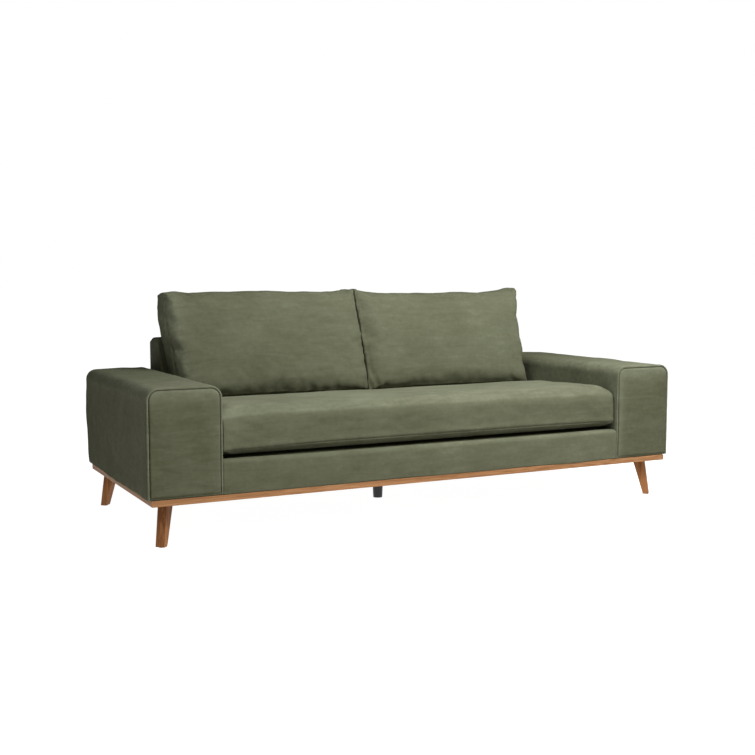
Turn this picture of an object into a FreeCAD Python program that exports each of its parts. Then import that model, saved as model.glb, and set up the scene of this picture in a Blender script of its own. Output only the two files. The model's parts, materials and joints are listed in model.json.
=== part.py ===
import FreeCAD, Part
import math
import os
import re

import PartDesign
import Sketcher

# A three-seat sofa: two wide padded arms, a padded back frame and a padded front rail stand on a flat
# wooden plinth with four splayed wooden legs and one black middle leg. A one-piece seat cushion lies on
# a sprung deck, and two loose back cushions stand on it.
#
# Frame: +Z up, -Y to the front, +X to the right of someone who looks at the front. Left and right in the
# pieces' names are that person's too. The origin is on the floor, at the middle of the footprint. All
# lengths are in millimetres.

doc = FreeCAD.newDocument("Sofa")

# ---------------------------------------------------------------------------------------------
# Driving dimensions
# ---------------------------------------------------------------------------------------------

DIMENSIONS = [
    ("sofa_width", 2240, "outside of one arm to outside of the other"),
    ("sofa_depth", 900, "front of the arms to the rear of the back frame"),
    ("arm_width", 267, "one arm, across the sofa"),
    ("arm_rise", 382, "plinth to the top of an arm"),
    ("arm_corner_radius", 28, "rounding of an arm's long top edges"),
    ("panel_edge_radius", 13, "rounding where an arm's front panel meets its sides"),
    ("back_rise", 502, "plinth to the top of the back frame"),
    ("back_top_depth", 119.6, "back frame, front to back, at its top"),
    ("back_lean", 20, "degrees that the inside back leans from upright"),
    ("back_corner_radius", 24, "rounding of the back frame's top edges"),
    ("rail_edge_radius", 14, "rounding of the front rail's top edge"),
    ("leg_height", 151, "floor to the underside of the plinth"),
    ("plinth_thickness", 22, "plinth boards, top to bottom"),
    ("plinth_rail_width", 110, "plinth boards, across the flat"),
    ("plinth_side_inset", 14, "arm's outer side to the plinth's edge"),
    ("plinth_front_inset", 2, "arm's front to the plinth's edge"),
    ("plinth_rear_inset", 29, "back of the sofa to the plinth's edge"),
    ("plinth_edge_radius", 2, "plinth boards' outer edges"),
    ("cross_rail_width", 60, "middle board of the plinth, across the flat"),
    ("shadow_gap", 5, "plinth to the lower edge of the fabric"),
    ("foot_side_inset", 59.5, "sofa's side to the middle of a foot"),
    ("foot_front_inset", 55, "sofa's front to the middle of a front foot"),
    ("foot_rear_inset", 45, "sofa's back to the middle of a rear foot"),
    ("leg_width", 35, "leg, across its outward face"),
    ("leg_top_depth", 48, "leg, outward face to inward face, at the plinth"),
    ("leg_foot_depth", 23, "leg, outward face to inward face, at the floor"),
    ("leg_edge_radius", 2, "leg's four long edges"),
    ("leg_splay", 34.5, "how far the foot stands outside the leg's top, along the diagonal"),
    ("middle_leg_back", 50, "middle leg behind the middle of the sofa"),
    ("middle_leg_top_radius", 26, "middle leg at the plinth"),
    ("middle_leg_foot_radius", 19, "middle leg at the floor"),
    ("glide_thickness", 2, "nylon glide under a leg"),
    ("glide_radius", 9, "nylon glide under a leg"),
    ("leg_bolt_radius", 4, "hanger bolt that holds a leg"),
    ("leg_bolt_grip", 35, "hanger bolt's length in the leg, and again above the plinth"),
    ("drill_ease", 0.1, "drilled hole's radius over its bolt's"),
    ("board", 15, "arm boards' thickness"),
    ("timber", 25, "frame timbers' thickness"),
    ("seat_rail_height", 105, "seat rails, top to bottom"),
    ("centre_rail_height", 50, "centre rail, top to bottom"),
    ("corner_block_side", 70, "glue block's two short sides"),
    ("corner_block_height", 70, "glue block, top to bottom"),
    ("leg_block_reach", 40, "leg block beyond its bolt's middle"),
    ("leg_block_height", 40, "leg block, top to bottom"),
    ("post_width", 30, "back posts, across the sofa"),
    ("lower_rail_height", 60, "back's lower rails, along the slope"),
    ("back_board", 4, "hardboard behind the back posts"),
    ("frame_bolt_radius", 4, "bolt through an arm's inner board into a side rail"),
    ("frame_bolt_head_radius", 9, "frame bolt's head"),
    ("frame_bolt_head", 5, "frame bolt's head, along the bolt"),
    ("frame_bolt_shy", 2, "frame bolt's end short of the rail's inner face"),
    ("wire_radius", 1.8, "sinuous spring wire"),
    ("wire_rise", 3, "spring wire's middle above the seat rails"),
    ("spring_bar", 30, "straight part of each spring turn"),
    ("clip_length", 26, "spring clip, across the sofa"),
    ("clip_depth", 14, "spring clip, front to back"),
    ("clip_height", 6, "spring clip, top to bottom"),
    ("felt", 3, "felt over the springs"),
    ("deck_foam", 12.9, "foam between the felt and the deck's fabric"),
    ("strap_width", 60, "back webbing strap"),
    ("strap_thickness", 2, "back webbing strap"),
    ("cover", 1.5, "upholstery fabric"),
    ("ease", 0.3, "clearance between a cover, what it covers and its neighbours"),
    ("front_foam", 12, "foam on the arm fronts and the front rail"),
    ("side_foam", 16, "foam on the arm sides"),
    ("arm_top_foam", 28, "foam on top of the arms"),
    ("rear_foam", 7, "foam on the arms' rear ends"),
    ("back_foam", 20, "foam on the inside back"),
    ("back_top_foam", 15, "foam on top of the back frame"),
    ("cushion_side_gap", 7, "seat cushion's end to the arm"),
    ("cushion_front_inset", 5, "front of the seat cushion behind the arm fronts"),
    ("cushion_rear_gap", 9.7, "seat cushion's rear to the inside back, at the deck"),
    ("cushion_height", 138, "seat cushion's thickness under the back cushions"),
    ("cushion_crown", 19, "extra thickness at the front of the seat cushion"),
    ("crown_start", 115, "front of the seat cushion to where its top starts to fall"),
    ("crown_clearance", 110, "front of the back cushions' foot to where the seat's top is level"),
    ("cushion_nose_radius", 45, "seat cushion's top front edge"),
    ("cushion_lip_radius", 18, "seat cushion's lower front edge"),
    ("cushion_rear_radius", 9, "seat cushion's rear edges"),
    ("cushion_end_radius", 8, "edges round the seat cushion's ends"),
    ("pillow_side_gap", 12, "outer end of a back cushion to the arm"),
    ("pillow_meeting_gap", 1, "between the two back cushions"),
    ("pillow_height", 429.4, "back cushions, bottom to top"),
    ("pillow_foot_depth", 135, "back cushions' depth where they stand on the seat"),
    ("pillow_top_depth", 92, "flat top of the back cushions, front to back"),
    ("pillow_shoulder", 75, "top of a back cushion down to its widest line at the back"),
    ("pillow_crown", 28, "how far a back cushion's front swells"),
    ("pillow_edge_radius", 26, "back cushion's top edges"),
    ("pillow_foot_radius", 14, "back cushion's lower edges"),
    ("pillow_end_radius", 12, "edges round a back cushion's ends"),
    ("piping_radius", 2, "welt round an arm's front panel"),
    ("zip_width", 8, "cushion zip's tape"),
    ("seat_zip_margin", 246, "seat cushion's end to its zip"),
    ("pillow_zip_margin", 120, "back cushion's end to its zip"),
    ("dust_cover_thickness", 1, "black cloth under the frame"),
]

SPRINGS = 8
SPRING_TURNS = 16
STRAPS = 8
FRAME_BOLTS_A_SIDE = 3

sheet = doc.addObject("Spreadsheet::Sheet", "Dimensions")
for row, (alias, value, meaning) in enumerate(DIMENSIONS, start=1):
    sheet.set(f"A{row}", meaning)
    sheet.set(f"B{row}", str(value))
    sheet.setAlias(f"B{row}", alias)
doc.recompute()

ALIASES = {alias for alias, _, _ in DIMENSIONS}


def formula(text):
    """Turn a formula in the sheet's aliases into an expression that any object can hold."""
    def from_sheet(word):
        return f"Dimensions.{word[0]}" if word[0] in ALIASES else word[0]

    return re.sub(r"[a-z_]+", from_sheet, text)


def size(text):
    """The formula's present value, in millimetres."""
    return float(sheet.evalExpression(formula(text)))


# ---------------------------------------------------------------------------------------------
# Places that several pieces share, as formulas
# ---------------------------------------------------------------------------------------------

SIDE = "(sofa_width / 2)"
FRONT = "(-sofa_depth / 2)"
REAR = "(sofa_depth / 2)"
LAYER = "(cover + ease)"
ARM_IN = f"({SIDE} - arm_width)"

PLINTH_TOP = "(leg_height + plinth_thickness)"
ARM_TOP = f"({PLINTH_TOP} + arm_rise)"
BACK_TOP = f"({PLINTH_TOP} + back_rise)"
HEM = f"({PLINTH_TOP} + shadow_gap)"
PLINTH_X = f"({SIDE} - plinth_side_inset)"
PLINTH_FRONT = f"({FRONT} + plinth_front_inset)"
PLINTH_REAR = f"({REAR} - plinth_rear_inset)"

FOOT_X = f"({SIDE} - foot_side_inset)"
FOOT_FRONT = f"({FRONT} + foot_front_inset)"
FOOT_REAR = f"({REAR} - foot_rear_inset)"
SPLAY = "(leg_splay * cos(45 deg))"
BOLT_X = f"({FOOT_X} - {SPLAY})"
BOLT_FRONT = f"({FOOT_FRONT} + {SPLAY})"
BOLT_REAR = f"({FOOT_REAR} - {SPLAY})"

BOARD_IN = f"({ARM_IN} + {LAYER} + side_foam)"
BOARD_OUT = f"({SIDE} - {LAYER} - side_foam)"
BOARD_FRONT = f"({FRONT} + {LAYER} + front_foam)"
BOARD_REAR = f"({REAR} - {LAYER} - rear_foam)"
BOARD_TOP = f"({ARM_TOP} - {LAYER} - arm_top_foam)"

SLOPE = "tan(back_lean * 1 deg)"
ACROSS_SLOPE = "cos(back_lean * 1 deg)"
RAIL_TOP = f"({PLINTH_TOP} + seat_rail_height)"
RAIL_REAR = f"({BOARD_FRONT} + timber)"
FELT_BASE = f"({RAIL_TOP} + clip_height + ease)"
DECK_BASE = f"({FELT_BASE} + felt)"
DECK_TOP = f"({DECK_BASE} + deck_foam + {LAYER})"
SEAT_TOP = f"({DECK_TOP} + ease + cushion_height)"
UPHOLSTERY_FOOT = f"({RAIL_TOP} + 2 * clip_height)"
WIRE_Z = f"({RAIL_TOP} + wire_rise)"
LINING = f"({LAYER} + back_foam)"
POST_FACE = f"({LINING} + strap_thickness)"
BETWEEN_ARMS = f"({ARM_IN} - ease)"
POST_OUT = f"({BETWEEN_ARMS} - {LAYER})"
POST_REAR = f"({REAR} - {LAYER} - back_board)"
TOP_BOARD_TOP = f"({BACK_TOP} - {LAYER} - back_top_foam)"
TOP_BOARD_BASE = f"({TOP_BOARD_TOP} - board)"


def inside_back(height, inset="0"):
    """Depth of the sloping inside back at a height, moved back by an inset square to the slope."""
    return f"({REAR} - back_top_depth + ({height} - {BACK_TOP}) * {SLOPE} + ({inset}) / {ACROSS_SLOPE})"


REAR_RAIL_REAR = inside_back(RAIL_TOP, POST_FACE)
REAR_RAIL_FRONT = f"({REAR_RAIL_REAR} - timber)"
DECK_REAR = f"({inside_back(RAIL_TOP)} - ease)"

# ---------------------------------------------------------------------------------------------
# Ways to make a piece
# ---------------------------------------------------------------------------------------------

nodes = {}


def node(name, piece):
    """Name the finished piece, which also names its file."""
    piece.Label = name
    nodes[name] = piece
    return piece


def bind(thing, **sizes):
    """Tie an object's properties to formulas; a double underscore stands for the dot in a path."""
    for path, text in sizes.items():
        thing.setExpression(path.replace("__", "."), formula(text))


def place(thing, x="0", y="0", z="0"):
    """Tie an object's position to three formulas."""
    bind(thing, Placement__Base__x=x, Placement__Base__y=y, Placement__Base__z=z)
    return thing


def mirrored(side, x0, x1):
    """Two X planes on the right side (1), or their mirror images on the left side (-1)."""
    return (x0, x1) if side > 0 else (f"-({x1})", f"-({x0})")


def slab(x0, x1, y0, y1, z0, z1):
    """A box between two planes in each direction."""
    box = doc.addObject("Part::Box", "Slab")
    bind(box, Length=f"{x1} - ({x0})", Width=f"{y1} - ({y0})", Height=f"{z1} - ({z0})")
    return place(box, x0, y0, z0)


def upright_rod(radius, length, x, y, z):
    """A vertical cylinder standing on a point."""
    rod = doc.addObject("Part::Cylinder", "Rod")
    bind(rod, Radius=radius, Height=length)
    return place(rod, x, y, z)


def cut(base, tool):
    """The base without the tool."""
    result = doc.addObject("Part::Cut", "Cut")
    result.Base = base
    result.Tool = tool
    return result


def group(pieces):
    """Several separate solids as one object."""
    bundle = doc.addObject("Part::Compound", "Group")
    bundle.Links = pieces
    return bundle


def new_body():
    body = doc.addObject("PartDesign::Body", "Body")
    body.AllowCompound = True
    return body


def plane_of(body, role):
    return next(feature for feature in body.Origin.OriginFeatures if feature.Role == role)


def new_sketch(body, role, offset="0"):
    """An empty sketch on one of the body's own planes, moved along its normal by the offset."""
    sketch = body.newObject("Sketcher::SketchObject", "Sketch")
    sketch.AttachmentSupport = [(plane_of(body, role), "")]
    sketch.MapMode = "FlatFace"
    bind(sketch, AttachmentOffset__Base__z=offset)
    return sketch


def pin_point(sketch, curve, end, across, up):
    """Tie one end of a curve to two formulas, measured from the sketch's origin."""
    for kind, text in (("DistanceX", across), ("DistanceY", up)):
        index = sketch.addConstraint(Sketcher.Constraint(kind, -1, 1, curve, end, size(text)))
        sketch.setExpression(f"Constraints[{index}]", formula(text))


def add_polygon(sketch, points):
    """A closed outline of straight lines with every corner tied to formulas."""
    corners = [FreeCAD.Vector(size(across), size(up), 0) for across, up in points]
    count = len(corners)
    lines = [
        sketch.addGeometry(Part.LineSegment(corners[index], corners[(index + 1) % count]), False)
        for index in range(count)
    ]
    for index in range(count):
        following = lines[(index + 1) % count]
        sketch.addConstraint(Sketcher.Constraint("Coincident", lines[index], 2, following, 1))
    for line, (across, up) in zip(lines, points):
        pin_point(sketch, line, 1, across, up)


def add_circle(sketch, across, up, radius):
    """A circle with its middle and radius tied to formulas."""
    middle = FreeCAD.Vector(size(across), size(up), 0)
    circle = sketch.addGeometry(Part.Circle(middle, FreeCAD.Vector(0, 0, 1), size(radius)), False)
    pin_point(sketch, circle, 3, across, up)
    index = sketch.addConstraint(Sketcher.Constraint("Radius", circle, size(radius)))
    sketch.setExpression(f"Constraints[{index}]", formula(radius))


def arc_in(path, middle_x, middle_y, radius, start, end):
    """An arc of a circle in a sketch, between two angles in radians; returns its number."""
    circle = Part.Circle(FreeCAD.Vector(middle_x, middle_y, 0), FreeCAD.Vector(0, 0, 1), radius)
    return path.addGeometry(Part.ArcOfCircle(circle, start, end), False)


def pad(body, sketch, length):
    feature = body.newObject("PartDesign::Pad", "Pad")
    feature.Profile = sketch
    bind(feature, Length=length)
    doc.recompute()
    return feature


def extrusion(role, points, start, length):
    """A body with a polygon for its section, from the start along the plane's normal."""
    body = new_body()
    sketch = new_sketch(body, role, start)
    add_polygon(sketch, points)
    pad(body, sketch, length)
    return body


def turned(points):
    """A body turned about its own vertical axis; the points are (radius, height)."""
    body = new_body()
    sketch = new_sketch(body, "XZ_Plane")
    add_polygon(sketch, points)
    feature = body.newObject("PartDesign::Revolution", "Revolution")
    feature.Profile = sketch
    feature.ReferenceAxis = (sketch, ["V_Axis"])
    feature.Angle = 360
    doc.recompute()
    return body


def repeat_across(body, count, pitch):
    """Repeat the body's last feature along X."""
    pattern = body.newObject("PartDesign::LinearPattern", "Pattern")
    pattern.Originals = [body.Tip]
    pattern.Direction = (plane_of(body, "X_Axis"), [""])
    pattern.Occurrences = count
    bind(pattern, Length=f"{count - 1} * {pitch}")
    body.Tip = pattern
    doc.recompute()
    return body


def edges_at(shape, **places):
    """Names of the edges that lie whole on the given planes, such as x=10 with z=5."""
    names = []
    for number, edge in enumerate(shape.Edges, start=1):
        box = edge.BoundBox
        spans = {"x": (box.XMin, box.XMax), "y": (box.YMin, box.YMax), "z": (box.ZMin, box.ZMax)}
        if all(abs(end - value) < 0.01 for axis, value in places.items() for end in spans[axis]):
            names.append(f"Edge{number}")
    return names


def round_edges(body, names, radius):
    """Round the named edges of the body's last feature."""
    last = body.Tip
    feature = body.newObject("PartDesign::Fillet", "Fillet")
    feature.Base = (last, names)
    bind(feature, Radius=radius)
    doc.recompute()
    return feature


# ---------------------------------------------------------------------------------------------
# Plinth and legs
# ---------------------------------------------------------------------------------------------

LEG_BOLT_PLACES = [
    (f"-{BOLT_X}", BOLT_FRONT),
    (BOLT_X, BOLT_FRONT),
    (f"-{BOLT_X}", BOLT_REAR),
    (BOLT_X, BOLT_REAR),
    ("0", "middle_leg_back"),
]
BOLT_LENGTH = "(2 * leg_bolt_grip + plinth_thickness)"


def drills():
    """The holes for the five leg bolts, through the plinth and into what lies on it."""
    radius = "leg_bolt_radius + drill_ease"
    return group([
        upright_rod(radius, f"{BOLT_LENGTH} + 2 * ease", x, y, "leg_height - leg_bolt_grip - ease")
        for x, y in LEG_BOLT_PLACES
    ])


def plinth():
    """Four flat boards mitred at the corners, and a cross board for the middle leg."""
    inner_x = f"({PLINTH_X} - plinth_rail_width)"
    inner_front = f"({PLINTH_FRONT} + plinth_rail_width)"
    inner_rear = f"({PLINTH_REAR} - plinth_rail_width)"
    outlines = {
        "plinth_front_rail": [
            (f"-{PLINTH_X}", PLINTH_FRONT), (PLINTH_X, PLINTH_FRONT),
            (inner_x, inner_front), (f"-{inner_x}", inner_front),
        ],
        "plinth_rear_rail": [
            (f"-{inner_x}", inner_rear), (inner_x, inner_rear),
            (PLINTH_X, PLINTH_REAR), (f"-{PLINTH_X}", PLINTH_REAR),
        ],
        "plinth_left_rail": [
            (f"-{PLINTH_X}", PLINTH_FRONT), (f"-{inner_x}", inner_front),
            (f"-{inner_x}", inner_rear), (f"-{PLINTH_X}", PLINTH_REAR),
        ],
        "plinth_right_rail": [
            (inner_x, inner_front), (PLINTH_X, PLINTH_FRONT),
            (PLINTH_X, PLINTH_REAR), (inner_x, inner_rear),
        ],
    }
    outer_faces = {
        "plinth_front_rail": {"y": size(PLINTH_FRONT)},
        "plinth_rear_rail": {"y": size(PLINTH_REAR)},
        "plinth_left_rail": {"x": -size(PLINTH_X)},
        "plinth_right_rail": {"x": size(PLINTH_X)},
    }
    for name, outline in outlines.items():
        rail = extrusion("XY_Plane", outline, "leg_height", "plinth_thickness")
        edges = edges_at(rail.Shape, z=size("leg_height"), **outer_faces[name])
        edges += edges_at(rail.Shape, z=size(PLINTH_TOP), **outer_faces[name])
        round_edges(rail, edges, "plinth_edge_radius")
        node(name, cut(rail, drills()))
    half = "(cross_rail_width / 2)"
    cross = slab(f"-{half}", half, inner_front, inner_rear, "leg_height", PLINTH_TOP)
    node("plinth_cross_rail", cut(cross, drills()))
    return inner_x, inner_front, inner_rear, half


def leg(name, x, y, angle):
    """A tapered leg, turned 45 degrees to the corner, that leans out along the diagonal.

    Its own X axis points outwards along the diagonal, and its own origin is the middle of the foot.
    """
    foot = "(leg_foot_depth / 2)"
    top = "(leg_top_depth / 2)"
    outline = [
        (f"-{foot}", "glide_thickness"), (foot, "glide_thickness"),
        (f"-leg_splay + {top}", "leg_height"), (f"-leg_splay - {top}", "leg_height"),
    ]
    body = extrusion("XZ_Plane", outline, "-leg_width / 2", "leg_width")
    rise = size("leg_height - glide_thickness")
    edges = enumerate(body.Shape.Edges, start=1)
    long_edges = [f"Edge{number}" for number, edge in edges if abs(edge.BoundBox.ZLength - rise) < 0.01]
    round_edges(body, long_edges, "leg_edge_radius")
    mouth = new_sketch(body, "XY_Plane", "leg_height")
    add_circle(mouth, "-leg_splay", "0", "leg_bolt_radius + drill_ease")
    socket = body.newObject("PartDesign::Pocket", "Socket")
    socket.Profile = mouth
    bind(socket, Length="leg_bolt_grip + ease")
    doc.recompute()
    place(body, x, y)
    body.Placement.Rotation = FreeCAD.Rotation(FreeCAD.Vector(0, 0, 1), angle)
    return node(name, body)


def legs():
    leg("leg_front_left", f"-{FOOT_X}", FOOT_FRONT, 225)
    leg("leg_front_right", FOOT_X, FOOT_FRONT, 315)
    leg("leg_rear_left", f"-{FOOT_X}", FOOT_REAR, 135)
    leg("leg_rear_right", FOOT_X, FOOT_REAR, 45)


def middle_leg():
    """A round tapered leg of black plastic with a socket for its bolt."""
    socket = "(leg_bolt_radius + drill_ease)"
    socket_floor = "(leg_height - leg_bolt_grip - ease)"
    body = turned([
        ("0", "glide_thickness"), ("middle_leg_foot_radius", "glide_thickness"),
        ("middle_leg_top_radius", "leg_height"), (socket, "leg_height"),
        (socket, socket_floor), ("0", socket_floor),
    ])
    node("leg_middle", place(body, "0", "middle_leg_back"))


def leg_hardware():
    node("leg_bolts", group([
        upright_rod("leg_bolt_radius", BOLT_LENGTH, x, y, "leg_height - leg_bolt_grip")
        for x, y in LEG_BOLT_PLACES
    ]))
    feet = [
        (f"-{FOOT_X}", FOOT_FRONT), (FOOT_X, FOOT_FRONT),
        (f"-{FOOT_X}", FOOT_REAR), (FOOT_X, FOOT_REAR), ("0", "middle_leg_back"),
    ]
    node("leg_glides", group([
        upright_rod("glide_radius", "glide_thickness", x, y, "0") for x, y in feet
    ]))
    depths = (
        (f"{BOARD_FRONT} + board", f"{BOLT_FRONT} + leg_block_reach"),
        (f"{BOLT_REAR} - leg_block_reach", f"{BOARD_REAR} - board"),
    )
    blocks = []
    for side in (-1, 1):
        x0, x1 = mirrored(side, f"{BOLT_X} - leg_block_reach", f"{BOARD_OUT} - board")
        for y0, y1 in depths:
            blocks.append(slab(x0, x1, y0, y1, PLINTH_TOP, f"{PLINTH_TOP} + leg_block_height"))
    node("leg_blocks", cut(group(blocks), drills()))


# ---------------------------------------------------------------------------------------------
# Seat frame, springs and deck
# ---------------------------------------------------------------------------------------------

FRAME_BOLT_Z = f"({PLINTH_TOP} + seat_rail_height / 2)"


def frame_bolt_places():
    """Depths of the frame bolts, spread evenly along a side rail."""
    step = f"({REAR_RAIL_FRONT} - {RAIL_REAR}) / {FRAME_BOLTS_A_SIDE + 1}"
    return [f"({RAIL_REAR} + {number} * {step})" for number in range(1, FRAME_BOLTS_A_SIDE + 1)]


def cross_rods(radius, x0, x1, places, z):
    """Rods along X between two planes, one at each depth."""
    rods = []
    for y in places:
        rod = doc.addObject("Part::Cylinder", "Rod")
        bind(rod, Radius=radius, Height=f"{x1} - ({x0})")
        place(rod, x0, y, z)
        rod.Placement.Rotation = FreeCAD.Rotation(FreeCAD.Vector(0, 1, 0), 90)
        rods.append(rod)
    return rods


def frame_drills():
    """Through the inner boards and the side rails, on both sides."""
    radius = "frame_bolt_radius + drill_ease"
    inside = f"({BOARD_IN} - timber - ease)"
    outside = f"({BOARD_IN} + board + ease)"
    return group(
        cross_rods(radius, f"-{outside}", f"-{inside}", frame_bolt_places(), FRAME_BOLT_Z)
        + cross_rods(radius, inside, outside, frame_bolt_places(), FRAME_BOLT_Z)
    )


def frame_bolts():
    """Round-headed bolts, head inside the arm, that pull each arm onto the seat frame."""
    length = "(board + timber - frame_bolt_shy)"
    outline = [
        ("0", f"-{length}"), ("frame_bolt_radius", f"-{length}"),
        ("frame_bolt_radius", "0"), ("frame_bolt_head_radius", "0"),
        ("frame_bolt_head_radius", "frame_bolt_head"), ("0", "frame_bolt_head"),
    ]
    bolts = []
    for side, turn in (("-", -90), ("", 90)):
        for y in frame_bolt_places():
            bolt = place(turned(outline), f"{side}({BOARD_IN} + board)", y, FRAME_BOLT_Z)
            bolt.Placement.Rotation = FreeCAD.Rotation(FreeCAD.Vector(0, 1, 0), turn)
            bolts.append(bolt)
    node("frame_bolts", group(bolts))


def seat_frame():
    """Rails between the arms: front and rear full length, side and centre rails between them."""
    def rail(x0, x1, y0, y1, top=RAIL_TOP):
        return slab(x0, x1, y0, y1, PLINTH_TOP, top)

    node("seat_front_rail", rail(f"-{BOARD_IN}", BOARD_IN, BOARD_FRONT, RAIL_REAR))
    node("seat_rear_rail", rail(f"-{BOARD_IN}", BOARD_IN, REAR_RAIL_FRONT, REAR_RAIL_REAR))
    for side, word in ((-1, "left"), (1, "right")):
        low, high = mirrored(side, f"{BOARD_IN} - timber", BOARD_IN)
        node(f"seat_{word}_rail", cut(rail(low, high, RAIL_REAR, REAR_RAIL_FRONT), frame_drills()))
    centre_top = f"{PLINTH_TOP} + centre_rail_height"
    centre = rail("-timber / 2", "timber / 2", RAIL_REAR, REAR_RAIL_FRONT, centre_top)
    node("seat_centre_rail", cut(centre, drills()))


def corner_blocks():
    """Triangular glue blocks in the seat frame's four corners."""
    base = f"{PLINTH_TOP} + (seat_rail_height - corner_block_height) / 2"
    blocks = []
    for side in ("-", ""):
        corner_x = f"{side}({BOARD_IN} - timber)"
        along_x = f"{side}({BOARD_IN} - timber - corner_block_side)"
        for corner_y, along_y in (
            (RAIL_REAR, f"{RAIL_REAR} + corner_block_side"),
            (REAR_RAIL_FRONT, f"{REAR_RAIL_FRONT} - corner_block_side"),
        ):
            outline = [(corner_x, corner_y), (along_x, corner_y), (corner_x, along_y)]
            blocks.append(extrusion("XY_Plane", outline, base, "corner_block_height"))
    node("corner_blocks", group(blocks))


SPRING_FRONT = f"({BOARD_FRONT} + timber / 2)"
SPRING_REAR = f"({REAR_RAIL_REAR} - timber / 2)"
SPRING_STEP = f"(({SPRING_REAR} - ({SPRING_FRONT})) / {SPRING_TURNS})"
SPRING_PITCH = f"(2 * {BETWEEN_ARMS} / {SPRINGS + 0.5})"
FIRST_SPRING = f"(-{SPRING_PITCH} * {SPRINGS - 1} / 2)"


def spring_path(body):
    """The wire's zigzag: straight bars across the sofa, joined by half circles at alternate ends."""
    path = new_sketch(body, "XY_Plane", WIRE_Z)
    low = f"({FIRST_SPRING} - spring_bar / 2)"
    high = f"({FIRST_SPRING} + spring_bar / 2)"
    step = size(SPRING_STEP)
    bars = []
    for turn in range(SPRING_TURNS + 1):
        start, end = (low, high) if turn % 2 == 0 else (high, low)
        depth = f"({SPRING_FRONT} + {turn} * {SPRING_STEP})"
        first = FreeCAD.Vector(size(start), size(depth), 0)
        last = FreeCAD.Vector(size(end), size(depth), 0)
        if bars:
            turns_right = first.x > size(FIRST_SPRING)
            angles = (-math.pi / 2, math.pi / 2) if turns_right else (math.pi / 2, 3 * math.pi / 2)
            bend = arc_in(path, first.x, first.y - step / 2, step / 2, *angles)
            into, out_of = (1, 2) if turns_right else (2, 1)
            path.addConstraint(Sketcher.Constraint("Tangent", bars[-1], 2, bend, into))
        bar = path.addGeometry(Part.LineSegment(first, last), False)
        pin_point(path, bar, 1, start, depth)
        pin_point(path, bar, 2, end, depth)
        if bars:
            path.addConstraint(Sketcher.Constraint("Coincident", bend, out_of, bar, 1))
        bars.append(bar)
    doc.recompute()
    return path


def seat_springs():
    """Sinuous wire springs from the front rail to the rear rail."""
    body = new_body()
    path = spring_path(body)
    section = new_sketch(body, "YZ_Plane", f"{FIRST_SPRING} - spring_bar / 2")
    add_circle(section, SPRING_FRONT, WIRE_Z, "wire_radius")
    doc.recompute()
    pipe = body.newObject("PartDesign::AdditivePipe", "Wire")
    pipe.Profile = section
    pipe.Spine = (path, [f"Edge{number}" for number in range(1, len(path.Shape.Edges) + 1)])
    doc.recompute()
    node("seat_springs", repeat_across(body, SPRINGS, SPRING_PITCH))


def spring_clips():
    """Steel clips on the front and rear rails, each closed round a spring's end bar."""
    rows = []
    for depth in (SPRING_FRONT, SPRING_REAR):
        body = new_body()
        sketch = new_sketch(body, "YZ_Plane", f"{FIRST_SPRING} - clip_length / 2")
        near = f"{depth} - clip_depth / 2"
        far = f"{depth} + clip_depth / 2"
        top = f"{RAIL_TOP} + clip_height"
        add_polygon(sketch, [(near, RAIL_TOP), (far, RAIL_TOP), (far, top), (near, top)])
        add_circle(sketch, depth, WIRE_Z, "wire_radius + drill_ease")
        pad(body, sketch, "clip_length")
        rows.append(repeat_across(body, SPRINGS, SPRING_PITCH))
    node("spring_clips", group(rows))


def deck():
    """Felt, foam and fabric between the springs and the seat cushion."""
    front = f"({RAIL_REAR} + ease)"
    layers = {
        "spring_felt": (FELT_BASE, DECK_BASE),
        "deck_foam": (DECK_BASE, f"{DECK_BASE} + deck_foam"),
        "deck_fabric": (f"{DECK_TOP} - cover", DECK_TOP),
    }
    for name, (base, top) in layers.items():
        node(name, slab(f"-{BETWEEN_ARMS}", BETWEEN_ARMS, front, DECK_REAR, base, top))


def front_rail_block(inset, base, rear):
    """The front rail's padded outline, moved in by the inset, with its top front edge rounded."""
    face = f"({FRONT} + {inset})"
    top = f"({DECK_TOP} - {inset})"
    outline = [(face, base), (rear, base), (rear, top), (face, top)]
    body = extrusion("YZ_Plane", outline, f"-{BETWEEN_ARMS}", f"2 * {BETWEEN_ARMS}")
    round_edges(body, edges_at(body.Shape, y=size(face), z=size(top)), f"rail_edge_radius - {inset}")
    return body


def front_rail_upholstery():
    outer = front_rail_block("0", HEM, RAIL_REAR)
    cavity = front_rail_block("cover", PLINTH_TOP, f"({RAIL_REAR} + timber)")
    node("front_rail_fabric", cut(outer, cavity))
    block = front_rail_block(LAYER, f"({HEM} + cover)", RAIL_REAR)
    timber_room = slab(f"-{ARM_IN}", ARM_IN, BOARD_FRONT, f"{RAIL_REAR} + timber", PLINTH_TOP, FELT_BASE)
    node("front_rail_foam", cut(block, timber_room))


# ---------------------------------------------------------------------------------------------
# Arms
# ---------------------------------------------------------------------------------------------

def arm_block(side, inset, base):
    """An arm's padded outline, moved in by the inset, with its long top edges and its front rounded."""
    inner = f"({ARM_IN} + {inset})"
    outer = f"({SIDE} - {inset})"
    front = f"({FRONT} + {inset})"
    rear = f"({REAR} - {inset})"
    top = f"({ARM_TOP} - {inset})"
    low, high = mirrored(side, inner, outer)
    outline = [(low, front), (high, front), (high, rear), (low, rear)]
    body = extrusion("XY_Plane", outline, base, f"{top} - ({base})")
    long_edges = [
        name for x in (low, high) for name in edges_at(body.Shape, x=size(x), z=size(top))
    ]
    round_edges(body, long_edges, f"arm_corner_radius - {inset}")
    front_edges = [
        name for name in edges_at(body.Shape, y=size(front))
        if name not in edges_at(body.Shape, y=size(front), z=size(base))
    ]
    round_edges(body, front_edges, f"panel_edge_radius - {inset}")
    return body


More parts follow.
